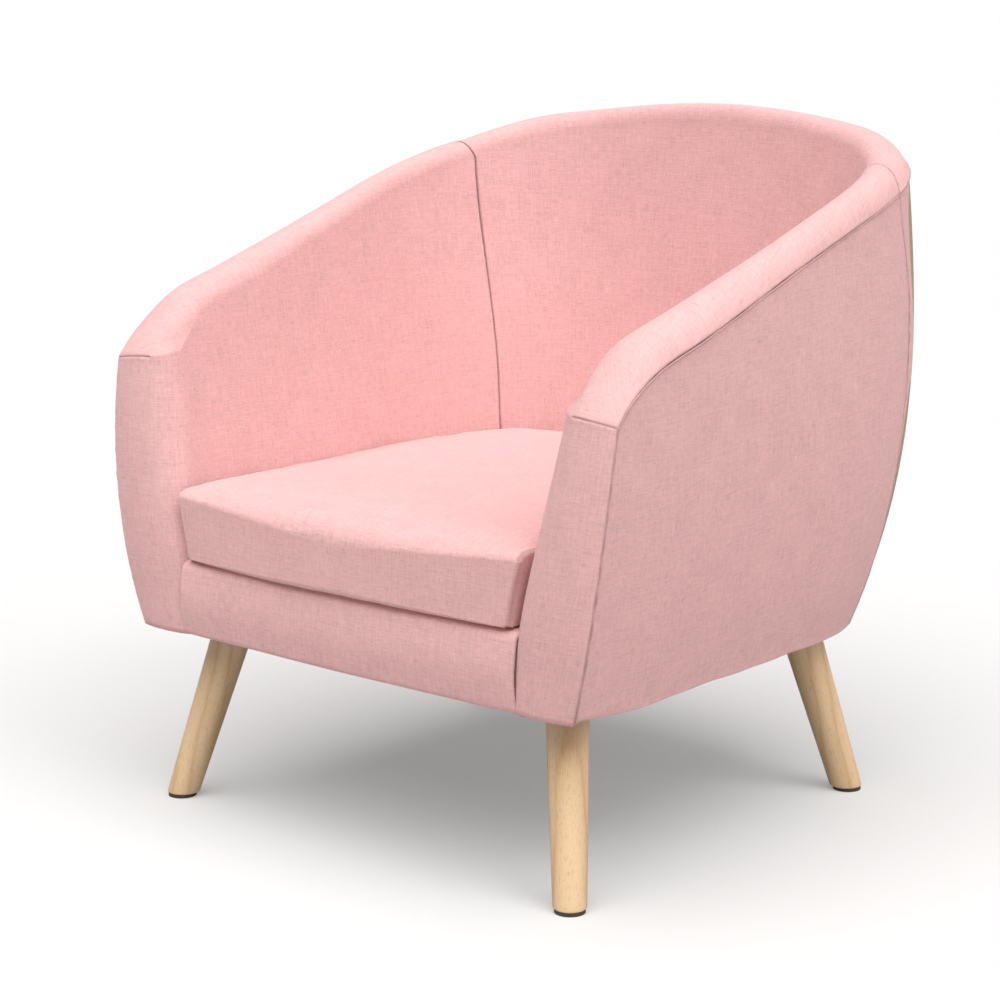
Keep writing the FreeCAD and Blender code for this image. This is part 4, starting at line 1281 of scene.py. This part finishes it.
class TUB_OT_frame_finishes(bpy.types.Operator):
    """Gives every remaining part of the frame its finish"""
    bl_idname = "tub.frame_finishes"
    bl_label = "Frame Finishes"

    def execute(self, context):
        grain = bpy.data.node_groups.get("wood_grain") or grain_group()
        cloth = context.scene.tub_cloth
        weave = bpy.data.node_groups.get("linen_weave") or weave_group()
        finishes = {
            "frame_timber": wood_material("sawn_timber", grain, (0.62, 0.45, 0.28),
                                          (0.42, 0.26, 0.13), 40.0, 0.8, "object"),
            "panel_board": plain_material("bent_board", (0.42, 0.30, 0.19), 260, 0.25, 0.85),
            "foam": plain_material("seat_foam", (0.84, 0.78, 0.55), 900, 0.18, 0.95, 0.8),
            "felt": plain_material("needle_felt", (0.40, 0.39, 0.37), 500, 0.35, 0.98, 0.8),
            "deck_cloth": plain_material("deck_cloth", (0.74, 0.44, 0.44), 1100, 0.20, 0.95, 0.5),
            "dust_cloth": plain_material("dust_cloth", (0.035, 0.034, 0.034), 700, 0.4, 0.95, 0.6),
            "webbing": plain_material("elastic_webbing", (0.12, 0.11, 0.10), 800, 0.4, 0.9, 0.6),
            "spring_steel": plain_material("spring_wire", (0.35, 0.35, 0.36), 300, 0.2, 0.35, 0.1, 1.0),
            "plate_steel": plain_material("zinc_plate", (0.62, 0.62, 0.60), 90, 0.2, 0.38, 0.1, 1.0),
            "fastener_steel": plain_material("yellow_zinc", (0.66, 0.56, 0.34), 200, 0.2, 0.35, 0.1, 1.0),
            "glide_plastic": plain_material("glide_plastic", (0.055, 0.045, 0.038), 400, 0.3, 0.6),
            "zip_tape": plain_material("zip_tape", (0.55, 0.27, 0.28), 1200, 0.2, 0.9, 0.5),
            "zip_metal": plain_material("zip_metal", (0.70, 0.66, 0.60), 300, 0.15, 0.3, 0.1, 1.0),
            LINEN: linen_material("hidden_linen", cloth, tuple(cloth.colour), weave),
            "leg_wood": wood_material("leg_core", grain, (0.80, 0.56, 0.33), (0.58, 0.32, 0.14), 40.0,
                                      0.6, "object"),
        }
        for entry in frame["record"]["subparts"]:
            node = frame["nodes"][entry["node"]]
            node.data.materials.clear()
            node.data.materials.append(finishes[entry["material_slot"]])
        return {"FINISHED"}


class TUB_OT_stage(bpy.types.Operator):
    """Lays the floor and sets the lights and the camera"""
    bl_idname = "tub.stage"
    bl_label = "Stage"

    def execute(self, context):
        scene = context.scene
        stage = scene.tub_stage
        points, faces = stage_surface()
        mesh = bpy.data.meshes.new("studio_floor")
        mesh.from_pydata(points, [], faces)
        mesh.polygons.foreach_set("use_smooth", [True] * len(mesh.polygons))
        floor = bpy.data.objects.new("studio_floor", mesh)
        material, work, shader = new_material("studio_white")
        shader.inputs["Base Color"].default_value = (0.50, 0.495, 0.49, 1)
        shader.inputs["Emission Color"].default_value = (1, 0.99, 0.98, 1)
        path = work.node("ShaderNodeLightPath").outputs["Is Camera Ray"]
        glow = work.math("MULTIPLY", path, 0.26)
        work.tree.links.new(glow, shader.inputs["Emission Strength"])
        shader.inputs["Roughness"].default_value = 0.9
        shader.inputs["Specular IOR Level"].default_value = 0.1
        mesh.materials.append(material)
        scene.collection.objects.link(floor)
        world = bpy.data.worlds.new("studio")
        world.use_nodes = True
        light_world(world.node_tree, stage.sky)
        scene.world = world
        add_sun("overhead", stage.overhead_turn, stage.overhead_height, stage.overhead, 75)
        add_sun("key", stage.key_turn, stage.key_height, stage.key, 40)
        lens = bpy.data.cameras.new("camera")
        lens.lens = stage.lens
        lens.sensor_width = 36
        camera = bpy.data.objects.new("camera", lens)
        back = Vector((math.sin(stage.azimuth) * math.cos(stage.elevation),
                       -math.cos(stage.azimuth) * math.cos(stage.elevation),
                       math.sin(stage.elevation)))
        camera.location = Vector(stage.target) + back * stage.distance
        camera.rotation_euler = back.to_track_quat("Z", "Y").to_euler()
        scene.collection.objects.link(camera)
        scene.camera = camera
        scene.view_settings.view_transform = "Standard"
        return {"FINISHED"}


def stage_surface():
    """A wide plain floor."""
    far = 60.0
    return [(-far, -far, 0), (far, -far, 0), (far, far, 0), (-far, far, 0)], [(0, 1, 2, 3)]


def light_world(tree, strength):
    """A plain white backdrop whose light on the chair is softer than it looks."""
    tree.nodes.clear()
    work = Tree(tree)
    path = work.node("ShaderNodeLightPath").outputs["Is Camera Ray"]
    lit = work.node("ShaderNodeBackground", {"Color": (1, 1, 1, 1), "Strength": strength})
    seen = work.node("ShaderNodeBackground", {"Color": (1, 1, 1, 1), "Strength": 1.05})
    both = work.node("ShaderNodeMixShader", {0: path, 1: lit.outputs[0], 2: seen.outputs[0]})
    out = work.node("ShaderNodeOutputWorld")
    tree.links.new(both.outputs[0], out.inputs[0])


def add_sun(name, turn, height, light, spread):
    """An even light from far away; light is what a white sheet facing it would send back."""
    data = bpy.data.lights.new(name, "SUN")
    data.energy = light * math.pi
    data.angle = math.radians(spread)
    sun = bpy.data.objects.new(name, data)
    towards = Vector((math.sin(turn) * math.cos(height), -math.cos(turn) * math.cos(height),
                      math.sin(height)))
    sun.rotation_euler = towards.to_track_quat("Z", "Y").to_euler()
    bpy.context.scene.collection.objects.link(sun)


class TUB_PT_panel(bpy.types.Panel):
    """Lists the steps that make the chair"""
    bl_label = "Tub Armchair"
    bl_idname = "TUB_PT_panel"
    bl_space_type = "VIEW_3D"
    bl_region_type = "UI"
    bl_category = "Tub Armchair"

    def draw(self, context):
        layout = self.layout
        for step in STEPS:
            layout.operator(step.bl_idname)
        for settings in (context.scene.tub_cloth, context.scene.tub_cushion,
                         context.scene.tub_wood, context.scene.tub_stage):
            column = layout.column()
            for name in settings.__annotations__:
                column.prop(settings, name)


GROUPS = {"tub_cloth": TubCloth, "tub_cushion": TubCushion, "tub_wood": TubWood,
          "tub_stage": TubStage}
STEPS = (TUB_OT_frame_finishes, TUB_OT_outside_covers, TUB_OT_inside_covers, TUB_OT_front_border,
         TUB_OT_seat_cushion, TUB_OT_legs, TUB_OT_stage)


def register():
    for item in (*GROUPS.values(), *STEPS, TUB_PT_panel):
        bpy.utils.register_class(item)
    for name, item in GROUPS.items():
        setattr(bpy.types.Scene, name, bpy.props.PointerProperty(type=item))


def unregister():
    for name in GROUPS:
        delattr(bpy.types.Scene, name)
    for item in reversed((*GROUPS.values(), *STEPS, TUB_PT_panel)):
        bpy.utils.unregister_class(item)


def main():
    register()
    for step in STEPS:
        family, name = step.bl_idname.split(".")
        getattr(getattr(bpy.ops, family), name)()


if __name__ == "__main__":
    main()
